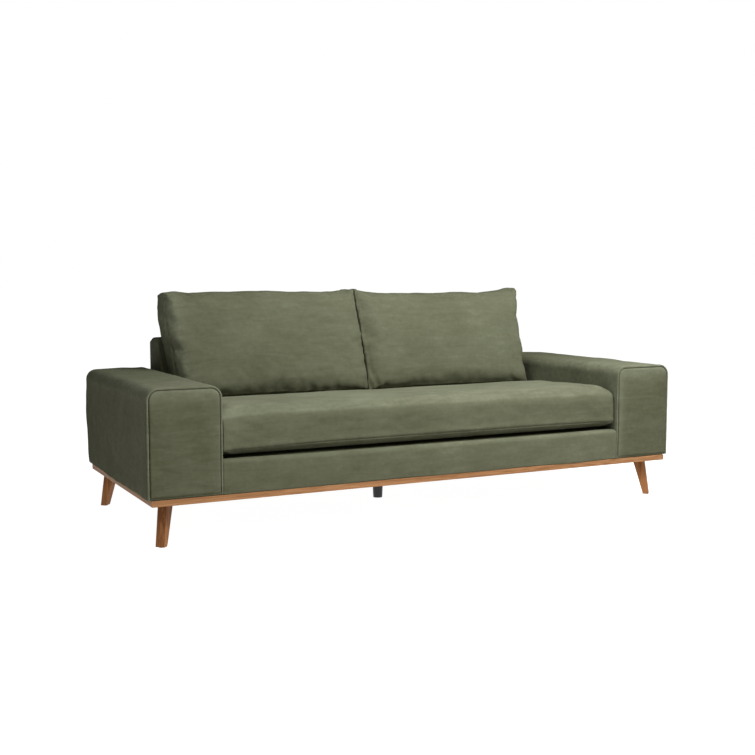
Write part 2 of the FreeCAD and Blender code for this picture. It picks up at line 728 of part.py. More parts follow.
def inner_recess(side):
    """Below the deck an arm's inner side has neither foam nor fabric, so that the rails reach its board."""
    x0, x1 = mirrored(side, f"{ARM_IN} - board", BOARD_IN)
    return slab(x0, x1, BOARD_FRONT, BOARD_REAR, PLINTH_TOP, UPHOLSTERY_FOOT)


def arm(side, word):
    """Five boards, foam over them, a fabric cover over the foam and a welt round the front panel."""
    side_top = f"({BOARD_TOP} - board)"
    side_front = f"({BOARD_FRONT} + board)"
    side_rear = f"({BOARD_REAR} - board)"

    def arm_board(x0, x1, y0, y1, z0=PLINTH_TOP, z1=side_top):
        low, high = mirrored(side, x0, x1)
        return slab(low, high, y0, y1, z0, z1)

    boards = {
        "inner": cut(arm_board(BOARD_IN, f"{BOARD_IN} + board", side_front, side_rear), frame_drills()),
        "outer": arm_board(f"{BOARD_OUT} - board", BOARD_OUT, side_front, side_rear),
        "front": arm_board(BOARD_IN, BOARD_OUT, BOARD_FRONT, side_front),
        "rear": arm_board(BOARD_IN, BOARD_OUT, side_rear, BOARD_REAR),
        "top": arm_board(BOARD_IN, BOARD_OUT, BOARD_FRONT, BOARD_REAR, side_top, BOARD_TOP),
    }
    for place_word, piece in boards.items():
        node(f"{word}_arm_{place_word}_board", piece)

    low, high = mirrored(side, BOARD_IN, BOARD_OUT)
    frame_room = slab(low, high, BOARD_FRONT, BOARD_REAR, PLINTH_TOP, BOARD_TOP)
    foam = cut(arm_block(side, LAYER, f"({HEM} + cover)"), frame_room)
    node(f"{word}_arm_foam", cut(foam, inner_recess(side)))
    fabric = cut(arm_block(side, "0", HEM), arm_block(side, "cover", PLINTH_TOP))
    node(f"{word}_arm_fabric", cut(fabric, inner_recess(side)))
    node(f"{word}_arm_piping", piping(side))


def piping(side):
    """The welt: a cord that goes up one side of the front panel, over its top and down the other."""
    body = new_body()
    inner = f"({ARM_IN} + piping_radius)"
    outer = f"({SIDE} - piping_radius)"
    low, high = mirrored(side, inner, outer)
    depth = f"({FRONT} + piping_radius)"
    top = f"({ARM_TOP} - piping_radius)"
    bend = "(arm_corner_radius - piping_radius)"
    path = new_sketch(body, "XZ_Plane", f"-({depth})")
    shoulder = f"({top} - {bend})"
    points = [
        (low, HEM), (low, shoulder), (f"{low} + {bend}", top),
        (f"{high} - {bend}", top), (high, shoulder), (high, HEM),
    ]
    spots = [FreeCAD.Vector(size(across), size(up), 0) for across, up in points]
    up_line = path.addGeometry(Part.LineSegment(spots[0], spots[1]), False)
    left_bend = arc_in(path, spots[2].x, spots[1].y, size(bend), math.pi / 2, math.pi)
    top_line = path.addGeometry(Part.LineSegment(spots[2], spots[3]), False)
    right_bend = arc_in(path, spots[3].x, spots[4].y, size(bend), 0, math.pi / 2)
    down_line = path.addGeometry(Part.LineSegment(spots[4], spots[5]), False)
    for curve, ends in ((up_line, (0, 1)), (top_line, (2, 3)), (down_line, (4, 5))):
        for end, point in zip((1, 2), ends):
            pin_point(path, curve, end, *points[point])
    path.addConstraint(Sketcher.Constraint("Tangent", up_line, 2, left_bend, 2))
    path.addConstraint(Sketcher.Constraint("Coincident", left_bend, 1, top_line, 1))
    path.addConstraint(Sketcher.Constraint("Tangent", top_line, 2, right_bend, 2))
    path.addConstraint(Sketcher.Constraint("Coincident", right_bend, 1, down_line, 1))
    section = new_sketch(body, "XY_Plane", HEM)
    add_circle(section, low, depth, "piping_radius")
    doc.recompute()
    pipe = body.newObject("PartDesign::AdditivePipe", "Welt")
    pipe.Profile = section
    pipe.Spine = (path, [f"Edge{number}" for number in range(1, len(path.Shape.Edges) + 1)])
    doc.recompute()
    return body


# ---------------------------------------------------------------------------------------------
# Back frame
# ---------------------------------------------------------------------------------------------

def back_block(inset, foot, rear, half):
    """The back's padded outline, moved in by the inset: sloping front, flat top and upright rear."""
    top = f"({BACK_TOP} - {inset})"
    outline = [
        (inside_back(foot, inset), foot), (rear, foot), (rear, top), (inside_back(top, inset), top),
    ]
    body = extrusion("YZ_Plane", outline, f"-{half}", f"2 * {half}")
    top_edges = edges_at(body.Shape, y=size(inside_back(top, inset)), z=size(top))
    top_edges += edges_at(body.Shape, y=size(rear), z=size(top))
    round_edges(body, top_edges, f"back_corner_radius - {inset}")
    return body


def back_frame():
    """Three posts with a sloping front edge, a board across their tops and short rails between them."""
    outline = [
        (REAR_RAIL_REAR, PLINTH_TOP), (POST_REAR, PLINTH_TOP), (POST_REAR, TOP_BOARD_BASE),
        (inside_back(TOP_BOARD_BASE, POST_FACE), TOP_BOARD_BASE), (REAR_RAIL_REAR, RAIL_TOP),
    ]
    starts = (f"-{POST_OUT}", "-post_width / 2", f"{POST_OUT} - post_width")
    node("back_posts", group([extrusion("YZ_Plane", outline, start, "post_width") for start in starts]))
    front = inside_back(TOP_BOARD_TOP, LINING)
    node("back_top_board", slab(f"-{POST_OUT}", POST_OUT, front, POST_REAR, TOP_BOARD_BASE, TOP_BOARD_TOP))
    length = f"({POST_OUT} - 1.5 * post_width)"
    rails = []
    for start in (f"-{POST_OUT} + post_width", "post_width / 2"):
        rail = doc.addObject("Part::Box", "LowerRail")
        bind(rail, Length=length, Width="timber", Height="lower_rail_height")
        place(rail, start, inside_back(UPHOLSTERY_FOOT, POST_FACE), UPHOLSTERY_FOOT)
        lean_back(rail)
        rails.append(rail)
    node("back_lower_rails", group(rails))
    board_top = f"({BACK_TOP} - back_corner_radius)"
    board_rear = f"({REAR} - {LAYER})"
    rear_board = slab(f"-{POST_OUT}", POST_OUT, POST_REAR, board_rear, f"{HEM} + cover", board_top)
    node("back_rear_board", rear_board)


def lean_back(piece):
    """Tilt a piece about the X axis so that its own Z runs up the inside back's slope."""
    piece.Placement.Rotation = FreeCAD.Rotation(FreeCAD.Vector(-1, 0, 0), size("back_lean"))
    bind(piece, Placement__Rotation__Angle="back_lean")
    return piece


def back_webbing():
    """Elastic straps up the slope from the lower rails to the top board."""
    length = f"(({TOP_BOARD_BASE} - {UPHOLSTERY_FOOT}) / {ACROSS_SLOPE})"
    pitch = f"(2 * {POST_OUT} / {STRAPS + 1})"
    straps = []
    for index in range(STRAPS):
        strap = doc.addObject("Part::Box", "Strap")
        bind(strap, Length="strap_width", Width="strap_thickness", Height=length)
        middle = f"{index - (STRAPS - 1) / 2} * {pitch}"
        place(strap, f"{middle} - strap_width / 2", inside_back(UPHOLSTERY_FOOT, LINING), UPHOLSTERY_FOOT)
        straps.append(lean_back(strap))
    node("back_webbing", group(straps))


def back_upholstery():
    """Foam over the slope and the top, and fabric over the foam, the ends and the rear."""
    block = back_block(LAYER, UPHOLSTERY_FOOT, f"({REAR} - {LAYER})", POST_OUT)
    beyond = f"({REAR} + timber)"
    room_outline = [
        (inside_back(PLINTH_TOP, LINING), PLINTH_TOP), (beyond, PLINTH_TOP),
        (beyond, TOP_BOARD_TOP), (inside_back(TOP_BOARD_TOP, LINING), TOP_BOARD_TOP),
    ]
    room = extrusion("YZ_Plane", room_outline, f"-{SIDE}", "sofa_width")
    node("back_foam", cut(block, room))
    outer = back_block("0", HEM, REAR, BETWEEN_ARMS)
    cavity = back_block("cover", PLINTH_TOP, f"({REAR} - cover)", f"({BETWEEN_ARMS} - cover)")
    shell = cut(outer, cavity)
    under_seat = slab(f"-{SIDE}", SIDE, FRONT, f"{REAR} - {LAYER} - back_board", PLINTH_TOP, UPHOLSTERY_FOOT)
    node("back_fabric", cut(shell, under_seat))


# ---------------------------------------------------------------------------------------------
# Loose cushions
# ---------------------------------------------------------------------------------------------

CUSHION_REAR = f"({inside_back(DECK_TOP)} - cushion_rear_gap)"
PILLOW_BASE = f"({SEAT_TOP} + ease)"
PILLOW_TOP = f"({PILLOW_BASE} + pillow_height)"
PILLOW_REAR = f"({inside_back(PILLOW_BASE)} - ease / {ACROSS_SLOPE})"
PILLOW_FRONT = f"({inside_back(PILLOW_BASE)} - pillow_foot_depth)"


def seat_cushion_block(inset):
    """The seat cushion's outline, moved in by the inset: a crown near the front and a soft nose."""
    face = f"({FRONT} + cushion_front_inset + {inset})"
    rear = f"({CUSHION_REAR} - {inset})"
    base = f"({DECK_TOP} + ease + {inset})"
    level = f"({SEAT_TOP} - {inset})"
    crest = f"({SEAT_TOP} + cushion_crown - {inset})"
    outline = [
        (face, base), (rear, base), (rear, level),
        (f"{PILLOW_FRONT} - crown_clearance", level),
        (f"{FRONT} + cushion_front_inset + crown_start", crest), (face, crest),
    ]
    half = f"({ARM_IN} - cushion_side_gap - {inset})"
    body = extrusion("YZ_Plane", outline, f"-{half}", f"2 * {half}")
    round_edges(body, edges_at(body.Shape, y=size(face), z=size(crest)), f"cushion_nose_radius - {inset}")
    round_edges(body, edges_at(body.Shape, y=size(face), z=size(base)), f"cushion_lip_radius - {inset}")
    rear_edges = edges_at(body.Shape, y=size(rear), z=size(base))
    rear_edges += edges_at(body.Shape, y=size(rear), z=size(level))
    round_edges(body, rear_edges, f"cushion_rear_radius - {inset}")
    ends = edges_at(body.Shape, x=size(half)) + edges_at(body.Shape, x=-size(half))
    round_edges(body, ends, f"cushion_end_radius - {inset}")
    return body


def seat_cushion():
    """A foam core in a boxed fabric cover with a zip along its rear."""
    half = f"({ARM_IN} - cushion_side_gap - seat_zip_margin)"
    level = f"({DECK_TOP} + ease + cushion_height / 2)"
    low = f"({level} - zip_width / 2)"
    high = f"({level} + zip_width / 2)"
    shell = cut(seat_cushion_block("0"), seat_cushion_block("cover"))
    slot = slab(
        f"-{half} - ease", f"{half} + ease",
        f"{CUSHION_REAR} - 2 * cover", f"{CUSHION_REAR} + cover",
        f"{low} - ease", f"{high} + ease",
    )
    node("seat_cushion_fabric", cut(shell, slot))
    node("seat_cushion_foam", seat_cushion_block(LAYER))
    node("seat_cushion_zip", slab(f"-{half}", half, f"{CUSHION_REAR} - cover", CUSHION_REAR, low, high))


def back_cushion_block(side, inset):
    """A back cushion's outline, moved in by the inset: it leans as the back does and swells in front."""
    base = f"({PILLOW_BASE} + {inset})"
    top = f"({PILLOW_TOP} - {inset})"
    shoulder = f"({PILLOW_TOP} - pillow_shoulder)"
    middle = f"(({base} + {top}) / 2)"
    rear_foot = f"({PILLOW_REAR} - {inset})"
    rear_shoulder = f"({PILLOW_REAR} + ({shoulder} - {PILLOW_BASE}) * {SLOPE} - {inset})"
    front_foot = f"({PILLOW_FRONT} + {inset})"
    rear_top = f"({rear_shoulder} - pillow_shoulder / 4)"
    front_top = f"({rear_top} - pillow_top_depth + 2 * {inset})"
    front_middle = f"(({front_foot} + {front_top}) / 2 - pillow_crown)"
    outline = [
        (front_foot, base), (rear_foot, base), (rear_shoulder, shoulder),
        (rear_top, top), (front_top, top), (front_middle, middle),
    ]
    near = f"(pillow_meeting_gap / 2 + {inset})"
    far = f"({ARM_IN} - pillow_side_gap - {inset})"
    low, high = mirrored(side, near, far)
    body = extrusion("YZ_Plane", outline, low, f"{high} - ({low})")
    top_edges = edges_at(body.Shape, y=size(rear_top), z=size(top))
    top_edges += edges_at(body.Shape, y=size(front_top), z=size(top))
    round_edges(body, top_edges, f"pillow_edge_radius - {inset}")
    foot_edges = edges_at(body.Shape, y=size(rear_foot), z=size(base))
    foot_edges += edges_at(body.Shape, y=size(front_foot), z=size(base))
    round_edges(body, foot_edges, f"pillow_foot_radius - {inset}")
    ends = edges_at(body.Shape, x=size(low)) + edges_at(body.Shape, x=size(high))
    round_edges(body, ends, f"pillow_end_radius - {inset}")
    return body


def back_cushion(side, word):
    """A filling in a fabric cover with a zip in its underside."""
    zip_near = "(pillow_meeting_gap / 2 + pillow_zip_margin)"
    zip_far = f"({ARM_IN} - pillow_side_gap - pillow_zip_margin)"
    low, high = mirrored(side, zip_near, zip_far)
    middle_y = f"({PILLOW_FRONT} + pillow_foot_depth / 2)"
    near = f"({middle_y} - zip_width / 2)"
    far = f"({middle_y} + zip_width / 2)"
    shell = cut(back_cushion_block(side, "0"), back_cushion_block(side, "cover"))
    slot = slab(
        f"{low} - ease", f"{high} + ease",
        f"{near} - ease", f"{far} + ease",
        f"{PILLOW_BASE} - cover", f"{PILLOW_BASE} + 2 * cover",
    )
    node(f"back_cushion_{word}_fabric", cut(shell, slot))
    node(f"back_cushion_{word}_filling", back_cushion_block(side, LAYER))
    node(f"back_cushion_{word}_zip", slab(low, high, near, far, PILLOW_BASE, f"{PILLOW_BASE} + cover"))


# ---------------------------------------------------------------------------------------------
# Dust cover
# ---------------------------------------------------------------------------------------------

def dust_cover(inner_x, inner_front, inner_rear, half_cross):
    """Black cloth under the seat frame, one sheet on each side of the plinth's cross board."""
    base = f"{PLINTH_TOP} - dust_cover_thickness"
    sheets = []
    for side in (-1, 1):
        low, high = mirrored(side, f"{half_cross} + ease", f"{inner_x} - ease")
        sheets.append(slab(low, high, f"{inner_front} + ease", f"{inner_rear} - ease", base, PLINTH_TOP))
    node("dust_cover", group(sheets))


# ---------------------------------------------------------------------------------------------
# The whole sofa
# ---------------------------------------------------------------------------------------------

plinth_opening = plinth()
legs()
middle_leg()
leg_hardware()
seat_frame()
corner_blocks()
frame_bolts()
seat_springs()
spring_clips()
deck()
front_rail_upholstery()
arm(-1, "left")
arm(1, "right")
back_frame()
back_webbing()
back_upholstery()
seat_cushion()
back_cushion(-1, "left")
back_cushion(1, "right")
dust_cover(*plinth_opening)

doc.recompute()

for thing in doc.Objects:
    if "Invalid" in thing.State or "Error" in thing.State:
        raise RuntimeError(f"{thing.Name} ({thing.Label}) failed: {thing.State}")
for name, piece in nodes.items():
    if piece.Shape.isNull() or not piece.Shape.isValid() or not piece.Shape.Solids:
        raise RuntimeError(f"{name} has no valid solid")

os.makedirs("parts", exist_ok=True)
for name, piece in nodes.items():
    piece.Shape.exportStep(f"parts/{name}.step")
print(f"{len(nodes)} pieces written")
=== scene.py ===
# %% [markdown]
# A sofa with wooden legs, dressed from the inside out. The frame of the sofa, its plinth, legs, boards,
# springs and straps, comes from the design files as it is. This lesson makes what the upholsterer
# adds: padded arms with a welt round each front, a padded front rail and back, a sprung deck, one long
# bench cushion and two loose back cushions. It then gives every part its finish: brushed sage cloth,
# oiled oak, black plastic, raw timber, steel, webbing and felt.
#
# Every soft piece is made the same way. A block's skin is laid out as a grid whose rows crowd together
# where a seam will run. Formulas round it, lean it and swell it, and the cushions are blown up
# with a cloth simulation. Only then are seams and puckers pressed in, because they need the fine rows.

# %% Load the design
import json
import math
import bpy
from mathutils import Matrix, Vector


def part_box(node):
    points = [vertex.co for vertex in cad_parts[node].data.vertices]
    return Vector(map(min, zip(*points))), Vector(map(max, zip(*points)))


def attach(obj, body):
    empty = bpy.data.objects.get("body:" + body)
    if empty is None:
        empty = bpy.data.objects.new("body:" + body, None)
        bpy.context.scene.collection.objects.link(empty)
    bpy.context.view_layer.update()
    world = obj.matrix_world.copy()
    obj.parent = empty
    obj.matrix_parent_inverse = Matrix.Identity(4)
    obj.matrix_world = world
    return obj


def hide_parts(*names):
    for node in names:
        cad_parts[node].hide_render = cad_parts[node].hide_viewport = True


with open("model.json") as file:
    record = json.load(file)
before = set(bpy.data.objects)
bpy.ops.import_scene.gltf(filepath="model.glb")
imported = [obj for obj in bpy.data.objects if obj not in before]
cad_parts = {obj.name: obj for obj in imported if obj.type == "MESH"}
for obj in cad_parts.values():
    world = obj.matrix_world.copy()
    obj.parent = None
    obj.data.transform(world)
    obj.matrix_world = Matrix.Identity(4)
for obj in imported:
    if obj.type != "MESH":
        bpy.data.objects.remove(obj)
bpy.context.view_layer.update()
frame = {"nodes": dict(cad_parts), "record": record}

from types import SimpleNamespace

import bmesh
import bpy
import numpy as np
from mathutils import Vector

nodes = frame["nodes"]
scene = bpy.context.scene

# %% [markdown]
# The design says where everything is. These few places are read from it once, so that no piece of
# upholstery has a position of its own that could drift away from the frame it covers. The covers' hems
# all end a hair above the plinth, so that no board shows under them.

# %% Places from the design


def span(part):
    """The lowest and highest corner of a part of the design, as arrays."""
    low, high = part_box(part)
    return np.array(low), np.array(high)


MM = 0.001
DECK_LEVEL = span("deck_fabric")[1][2]
SEAT_LEVEL = span("back_cushion_left_fabric")[0][2]
BACK_LOW, BACK_HIGH = span("back_fabric")
SOFA_REAR = BACK_HIGH[1]
LEAN = math.radians(20)
BACK_TOP_DEPTH = 0.1196
HEM_CLEARANCE = 0.6 * MM
HEM_LEVEL = span("plinth_front_rail")[1][2] + HEM_CLEARANCE


def inside_back(height):
    """Depth of the sloping inside back at a height: a straight line that leans back by the lean."""
    return SOFA_REAR - BACK_TOP_DEPTH + (height - BACK_HIGH[2]) * math.tan(LEAN)


print(f"deck at {DECK_LEVEL:.4f}, seat at {SEAT_LEVEL:.4f}, inside back at {inside_back(SEAT_LEVEL):.4f}")

# %% [markdown]
# Upholstery is a skin over a block. One way to model it is a cube with a bevel, but then the rows
# of the mesh fall where the tool puts them. Here the block's skin is a lattice instead: whole-number
# steps along three edges, kept only where they lie on the outside. Because each point knows its steps,
# it also knows how far it is from every edge, and that is where the seams are sewn.

# %% The skin of a block


def block_skin(counts):
    """Lattice points on a block's outside, each once, and the four-sided faces between them.

    For each axis the two end faces are gridded in the other two directions. The corners go round
    anticlockwise as seen from outside, and corners with the same whole-number place are one point.
    """
    faces = []
    for axis in range(3):
        across, up = (axis + 1) % 3, (axis + 2) % 3
        i, j = np.meshgrid(np.arange(counts[across]), np.arange(counts[up]), indexing="ij")
        for end in (0, 1):
            corner = np.zeros((i.size, 4, 3), int)
            corner[:, :, axis] = end * counts[axis]
            corner[:, :, across] = i.ravel()[:, None] + np.array([0, 1, 1, 0])
            corner[:, :, up] = j.ravel()[:, None] + np.array([0, 0, 1, 1])
            faces.append(corner if end else corner[:, ::-1])
    corners = np.concatenate(faces)
    steps, number = np.unique(corners.reshape(-1, 3), axis=0, return_inverse=True)
    return steps, number.reshape(-1, 4)


def graded(length, step, near):
    """Places along an edge: the near distances from each end, and even steps between them."""
    near = np.asarray(near)[np.asarray(near) < length * 0.35]
    count = int(round((length - 2 * near[-1]) / step)) + 1
    middle = np.linspace(near[-1], length - near[-1], max(3, count))
    return np.concatenate([near[:-1], middle, (length - near[:-1])[::-1]])


FIRM_ROWS = np.array([0, 1.5, 3, 4.5, 6, 8, 10.5, 14, 19, 25]) * MM
SOFT_ROWS = np.array([0, 3, 6, 9.5, 14, 20]) * MM
print("a block of 3 by 2 by 1 steps has", len(block_skin((3, 2, 1))[1]), "faces")

# %% [markdown]
# A cushion or an arm is a section carried along one direction. Its section is a rectangle whose corners
# are arcs, and where the two ends meet the long sides there is a second, smaller rounding: the rim, where
# the cover's seam runs. Each point keeps its distance from that rim, measured along the cloth.

# %% A block with rounded corners and rims

SQUARE = ((-1, -1), (1, -1), (1, 1), (-1, 1))


def soft_block(low, high, along, corner_radii, rim_radii, step, near):
    """The skin of a block between two corners, rounded, with what its points know about themselves.

    In the section, a point inside a corner's square goes the same share of the way out along its own
    direction, which turns the square into a quarter disc. At an end, a point whose distance s from the
    rim (along the cloth, negative on the end face) is less than the rim's radius r moves onto an arc:
    the angle is a quarter turn times (1 - s/r)/2, the inset is r(1 - cos), the depth is r(1 - sin).
    """
    size = high - low
    ticks = [graded(size[axis], step, near) for axis in range(3)]
    steps, quads = block_skin([len(t) - 1 for t in ticks])
    flat = np.stack([ticks[axis][steps[:, axis]] for axis in range(3)], axis=1)
    first, second = (along + 1) % 3, (along + 2) % 3
    p, q = flat[:, first].copy(), flat[:, second].copy()
    to_sides = np.stack([p, size[first] - p, q, size[second] - q])
    nearest = to_sides.argmin(0)
    inward_depth = to_sides.min(0)
    normal = np.array([[-1, 0], [1, 0], [0, -1], [0, 1]], float)[nearest]
    for radius, (sp, sq) in zip(corner_radii, SQUARE):
        middle_p = radius if sp < 0 else size[first] - radius
        middle_q = radius if sq < 0 else size[second] - radius
        dp, dq = (flat[:, first] - middle_p) * sp, (flat[:, second] - middle_q) * sq
        inside = (dp > 0) & (dq > 0)
        reach = np.hypot(dp, dq) + 1e-12
        share = np.where(inside, np.maximum(dp, dq) / reach, 1)
        p = np.where(inside, middle_p + sp * dp * share, p)
        q = np.where(inside, middle_q + sq * dq * share, q)
        turned = np.stack([sp * dp / reach, sq * dq / reach], axis=1)
        normal = np.where(inside[:, None], turned, normal)
    place = flat[:, along].copy()
    rims = []
    for end, radius in enumerate(rim_radii):
        depth = flat[:, along] if end == 0 else size[along] - flat[:, along]
        on_end = depth < 1e-9
        rim = np.where(on_end, -inward_depth, depth)
        angle = (1 - np.clip(rim / radius, -1, 1)) * math.pi / 4
        curved = np.abs(rim) < radius
        inset = np.where(curved, radius * (1 - np.cos(angle)), np.where(on_end, inward_depth, 0))
        new_depth = np.where(curved, radius * (1 - np.sin(angle)), depth)
        push = np.where(curved, inset - np.where(on_end, inward_depth, 0), 0)
        p = p - normal[:, 0] * push
        q = q - normal[:, 1] * push
        place = np.where(curved, new_depth if end == 0 else size[along] - new_depth, place)
        rims.append(rim)
    points = np.zeros_like(flat)
    points[:, along] = low[along] + place
    points[:, first] = low[first] + p
    points[:, second] = low[second] + q
    corner_steps = steps[quads]
    uv = np.zeros((len(quads), 4, 2))
    for axis in range(3):
        on_side = (corner_steps[:, :, axis] == corner_steps[:, :1, axis]).all(axis=1)
        across, up = (axis + 1) % 3, (axis + 2) % 3
        uv[on_side] = flat[quads][on_side][:, :, [across, up]]
    return SimpleNamespace(
        points=points, quads=quads, uv=uv, flat=flat, size=size, low=low, high=high,
        near_rim=rims[0], far_rim=rims[1],
    )


def centred(block):
    """Each point's place as a share from -1 to 1 along the block's three edges, before rounding."""
    return 2 * block.flat / block.size - 1


def nearest_rim(block):
    """How far each point is from the nearer of the two rims, measured along the cloth."""
    return np.minimum(np.abs(block.near_rim), np.abs(block.far_rim))


sample = soft_block(np.zeros(3), np.ones(3), 0, (0.1,) * 4, (0.05, 0.05), 0.2, [0, 0.02, 0.1])
print("a sample block has", len(sample.points), "points")

# %% [markdown]
# Hand-made cloth is never quite even. A sum of many plane waves of about one length, in random directions,
# gives a gentle unevenness with no visible repeat. The same helper makes slack in an arm's side and puckers
# along a seam; only the length changes.

# %% Unevenness, normals and swelling


def ripple(points, length, seed, drawn=(1, 1, 1), waves=20):
    """Unevenness of about unit size: plane waves in random directions, added up.

    drawn is a factor along X, Y and Z: under one, the waves are that much longer that way.
    """
    rng = np.random.default_rng(seed)
    direction = rng.normal(size=(waves, 3))
    direction /= np.linalg.norm(direction, axis=1, keepdims=True)
    pace = 2 * math.pi / (length * rng.uniform(0.7, 1.5, waves))
    phase = rng.uniform(0, 2 * math.pi, waves)
    places = points * np.array(drawn)
    return np.sin((places @ direction.T) * pace + phase).sum(axis=1) / math.sqrt(waves / 2)


def normals_of(points, quads):
    """Each point's outward direction: its faces' diagonals crossed, added up and made one long."""
    a, b, c, d = (points[quads[:, corner]] for corner in range(4))
    crossed = np.cross(c - a, d - b)
    total = np.zeros_like(points)
    for corner in range(4):
        np.add.at(total, quads[:, corner], crossed)
    return total / (np.linalg.norm(total, axis=1, keepdims=True) + 1e-15)


def swell(block, amount):
    """Push each face out by the amount at its middle, falling to nothing at its edges."""
    share = centred(block) ** 2
    facing = normals_of(block.points, block.quads)
    for axis in range(3):
        others = (1 - share[:, (axis + 1) % 3]) * (1 - share[:, (axis + 2) % 3])
        block.points[:, axis] += amount * others * facing[:, axis]


def bump(distance, width):
    """A smooth hump of height one at distance nought: e to the minus (distance/width) squared."""
    return np.exp(-((distance / width) ** 2))


def ease(value, start, end):
    """Nought before start, one after end, and a smooth step between: t t (3 - 2 t)."""
    t = np.clip((value - start) / (end - start), 0, 1)
    return t * t * (3 - 2 * t)


def press(block, amounts):
    """Move each point along its own normal by the amounts."""
    block.points += normals_of(block.points, block.quads) * np.asarray(amounts)[:, None]


GROOVE_WIDTH, SHOULDER_WIDTH, SHOULDER_OFFSET = 1.8 * MM, 4 * MM, 6 * MM


def seam_profile(distance, depth, shoulder):
    """A sewn seam across the cloth: a narrow groove between two soft shoulders."""
    before = bump(distance - SHOULDER_OFFSET, SHOULDER_WIDTH)
    after = bump(distance + SHOULDER_OFFSET, SHOULDER_WIDTH)
    return shoulder * (before + after) - depth * bump(distance, GROOVE_WIDTH)


print("a seam 2 mm deep is", round(seam_profile(0, 2, 1), 2), "mm at its middle")

# %% [markdown]
# Blender keeps a mesh as flat lists of numbers, and whole arrays can be copied into them at once.

# %% Making a piece from a block

# The neutral level of the painted light and shade that each cloth point carries: a higher value paints the
# cloth lighter, a lower one darker.
PLAIN_PAINTED_LIGHT = 0.5


def write_piece(name, block, painted_light=None):
    """Put a block's points and faces into a mesh, with its cloth map and its painted light and shade."""
    mesh = bpy.data.meshes.new(name)
    mesh.vertices.add(len(block.points))
    mesh.vertices.foreach_set("co", block.points.astype(np.float32).ravel())
    count = len(block.quads)
    mesh.loops.add(4 * count)
    mesh.loops.foreach_set("vertex_index", block.quads.astype(np.int32).ravel())
    mesh.polygons.add(count)
    mesh.polygons.foreach_set("loop_start", np.arange(0, 4 * count, 4, dtype=np.int32))
    mesh.update(calc_edges=True)
    mesh.uv_layers.new(name="cloth").data.foreach_set("uv", block.uv.astype(np.float32).ravel())
    values = np.full(len(block.points), PLAIN_PAINTED_LIGHT) if painted_light is None else painted_light
    mesh.attributes.new("painted_light", "FLOAT", "POINT").data.foreach_set("value", values.astype(np.float32))
    mesh.shade_smooth()
    piece = bpy.data.objects.new(name, mesh)
    scene.collection.objects.link(piece)
    return piece


def dress(piece, body, slot, material, *covered, fill=None):
    """Hand a finished piece over: its body, its finish and the plain parts that it stands for."""
    piece.data.materials.clear()
    piece.data.materials.append(material)
    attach(piece, body)
    if covered:
        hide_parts(*covered)
    print(f"{piece.name}: {len(piece.data.polygons)} faces")
    return piece


# %% [markdown]
# A material is a small tree of nodes. Writing each node out takes many lines, so one helper makes a
# node, sets it up and joins its inputs. Anything that is the same all over a surface is a plain
# number on the shader itself; only what varies from place to place is computed.

# %% A helper for materials


def add_node(tree, kind, setup=None, **inputs):
    """Make a node. An input takes a number, or another node's output.

    An input is named with _ for each space, or as i and its number where names repeat.
    """
    made = tree.nodes.new(kind)
    for key, value in (setup or {}).items():
        setattr(made, key, value)
    for key, value in inputs.items():
        numbered = key[0] == "i" and key[1:].isdigit()
        socket = made.inputs[int(key[1:]) if numbered else key.replace("_", " ")]
        if isinstance(value, bpy.types.NodeSocket):
            tree.links.new(value, socket)
        else:
            socket.default_value = value
    return made


def blend_ramp(tree, factor, *stops):
    """A colour ramp: pairs of a place from nought to one and a colour."""
    made = add_node(tree, "ShaderNodeValToRGB", Fac=factor)
    ramp = made.color_ramp
    while len(ramp.elements) < len(stops):
        ramp.elements.new(0.5)
    for element, (place, colour) in zip(ramp.elements, stops):
        element.position = place
        element.color = (*colour, 1)
    return made.outputs["Color"]


def new_material(name, **on_shader):
    """An empty material with one shader; the keywords are numbers for the shader's own sockets."""
    material = bpy.data.materials.new(name)
    material.use_nodes = True
    tree = material.node_tree
    tree.nodes.clear()
    shader = add_node(tree, "ShaderNodeBsdfPrincipled", **on_shader)
    add_node(tree, "ShaderNodeOutputMaterial", Surface=shader.outputs["BSDF"])
    return material, tree, shader


def paint(tree, shader, colour, normal):
    """Join a computed colour and relief to the shader."""
    tree.links.new(colour, shader.inputs["Base Color"])
    tree.links.new(normal, shader.inputs["Normal"])


def object_place(tree):
    """Each point's place on the sofa."""
    return add_node(tree, "ShaderNodeTexCoord").outputs["Object"]


def noise(tree, where, scale, detail=2.0, roughness=0.5, distortion=0.0):
    """Cloudy noise from nought to one."""
    made = add_node(
        tree, "ShaderNodeTexNoise", Vector=where, Scale=scale, Detail=detail, Roughness=roughness,
        Distortion=distortion,
    )
    return made.outputs["Fac"]


def maths(tree, operation, first, second=0.0, third=0.0):
    """One sum on up to three inputs."""
    made = add_node(tree, "ShaderNodeMath", {"operation": operation}, i0=first, i1=second, i2=third)
    return made.outputs["Value"]


def stretched(tree, scale, turn=(0, 0, 0)):
    """Object coordinates, scaled differently along each axis."""
    made = add_node(tree, "ShaderNodeMapping", Vector=object_place(tree), Scale=scale, Rotation=turn)
    return made.outputs["Vector"]


def relief(tree, height, strength, distance):
    """Dents and ridges from a height, as a change of the surface's direction."""
    made = add_node(tree, "ShaderNodeBump", Height=height, Strength=strength, Distance=distance)
    return made.outputs["Normal"]


print("a ramp, noise, sums, stretching and relief are ready")

# %% [markdown]
# The cover is a brushed, short-piled cloth, halfway between a plain weave and suede. Three things make it:
# a pile that lies lighter or darker in soft patches, a fine mixture of threads, and the weave itself, about
# a thread every millimetre, which follows the cloth's own map so that it runs straight along each panel.
# Each piece also carries painted light and shade per point, added to the colour: lighter tops and lit
# sides, darker seams, feet and shaded sides. A little sheen on the shader stands for the pile's raised
# fibres.

# %% Sage cloth

THREAD = 0.9 * MM


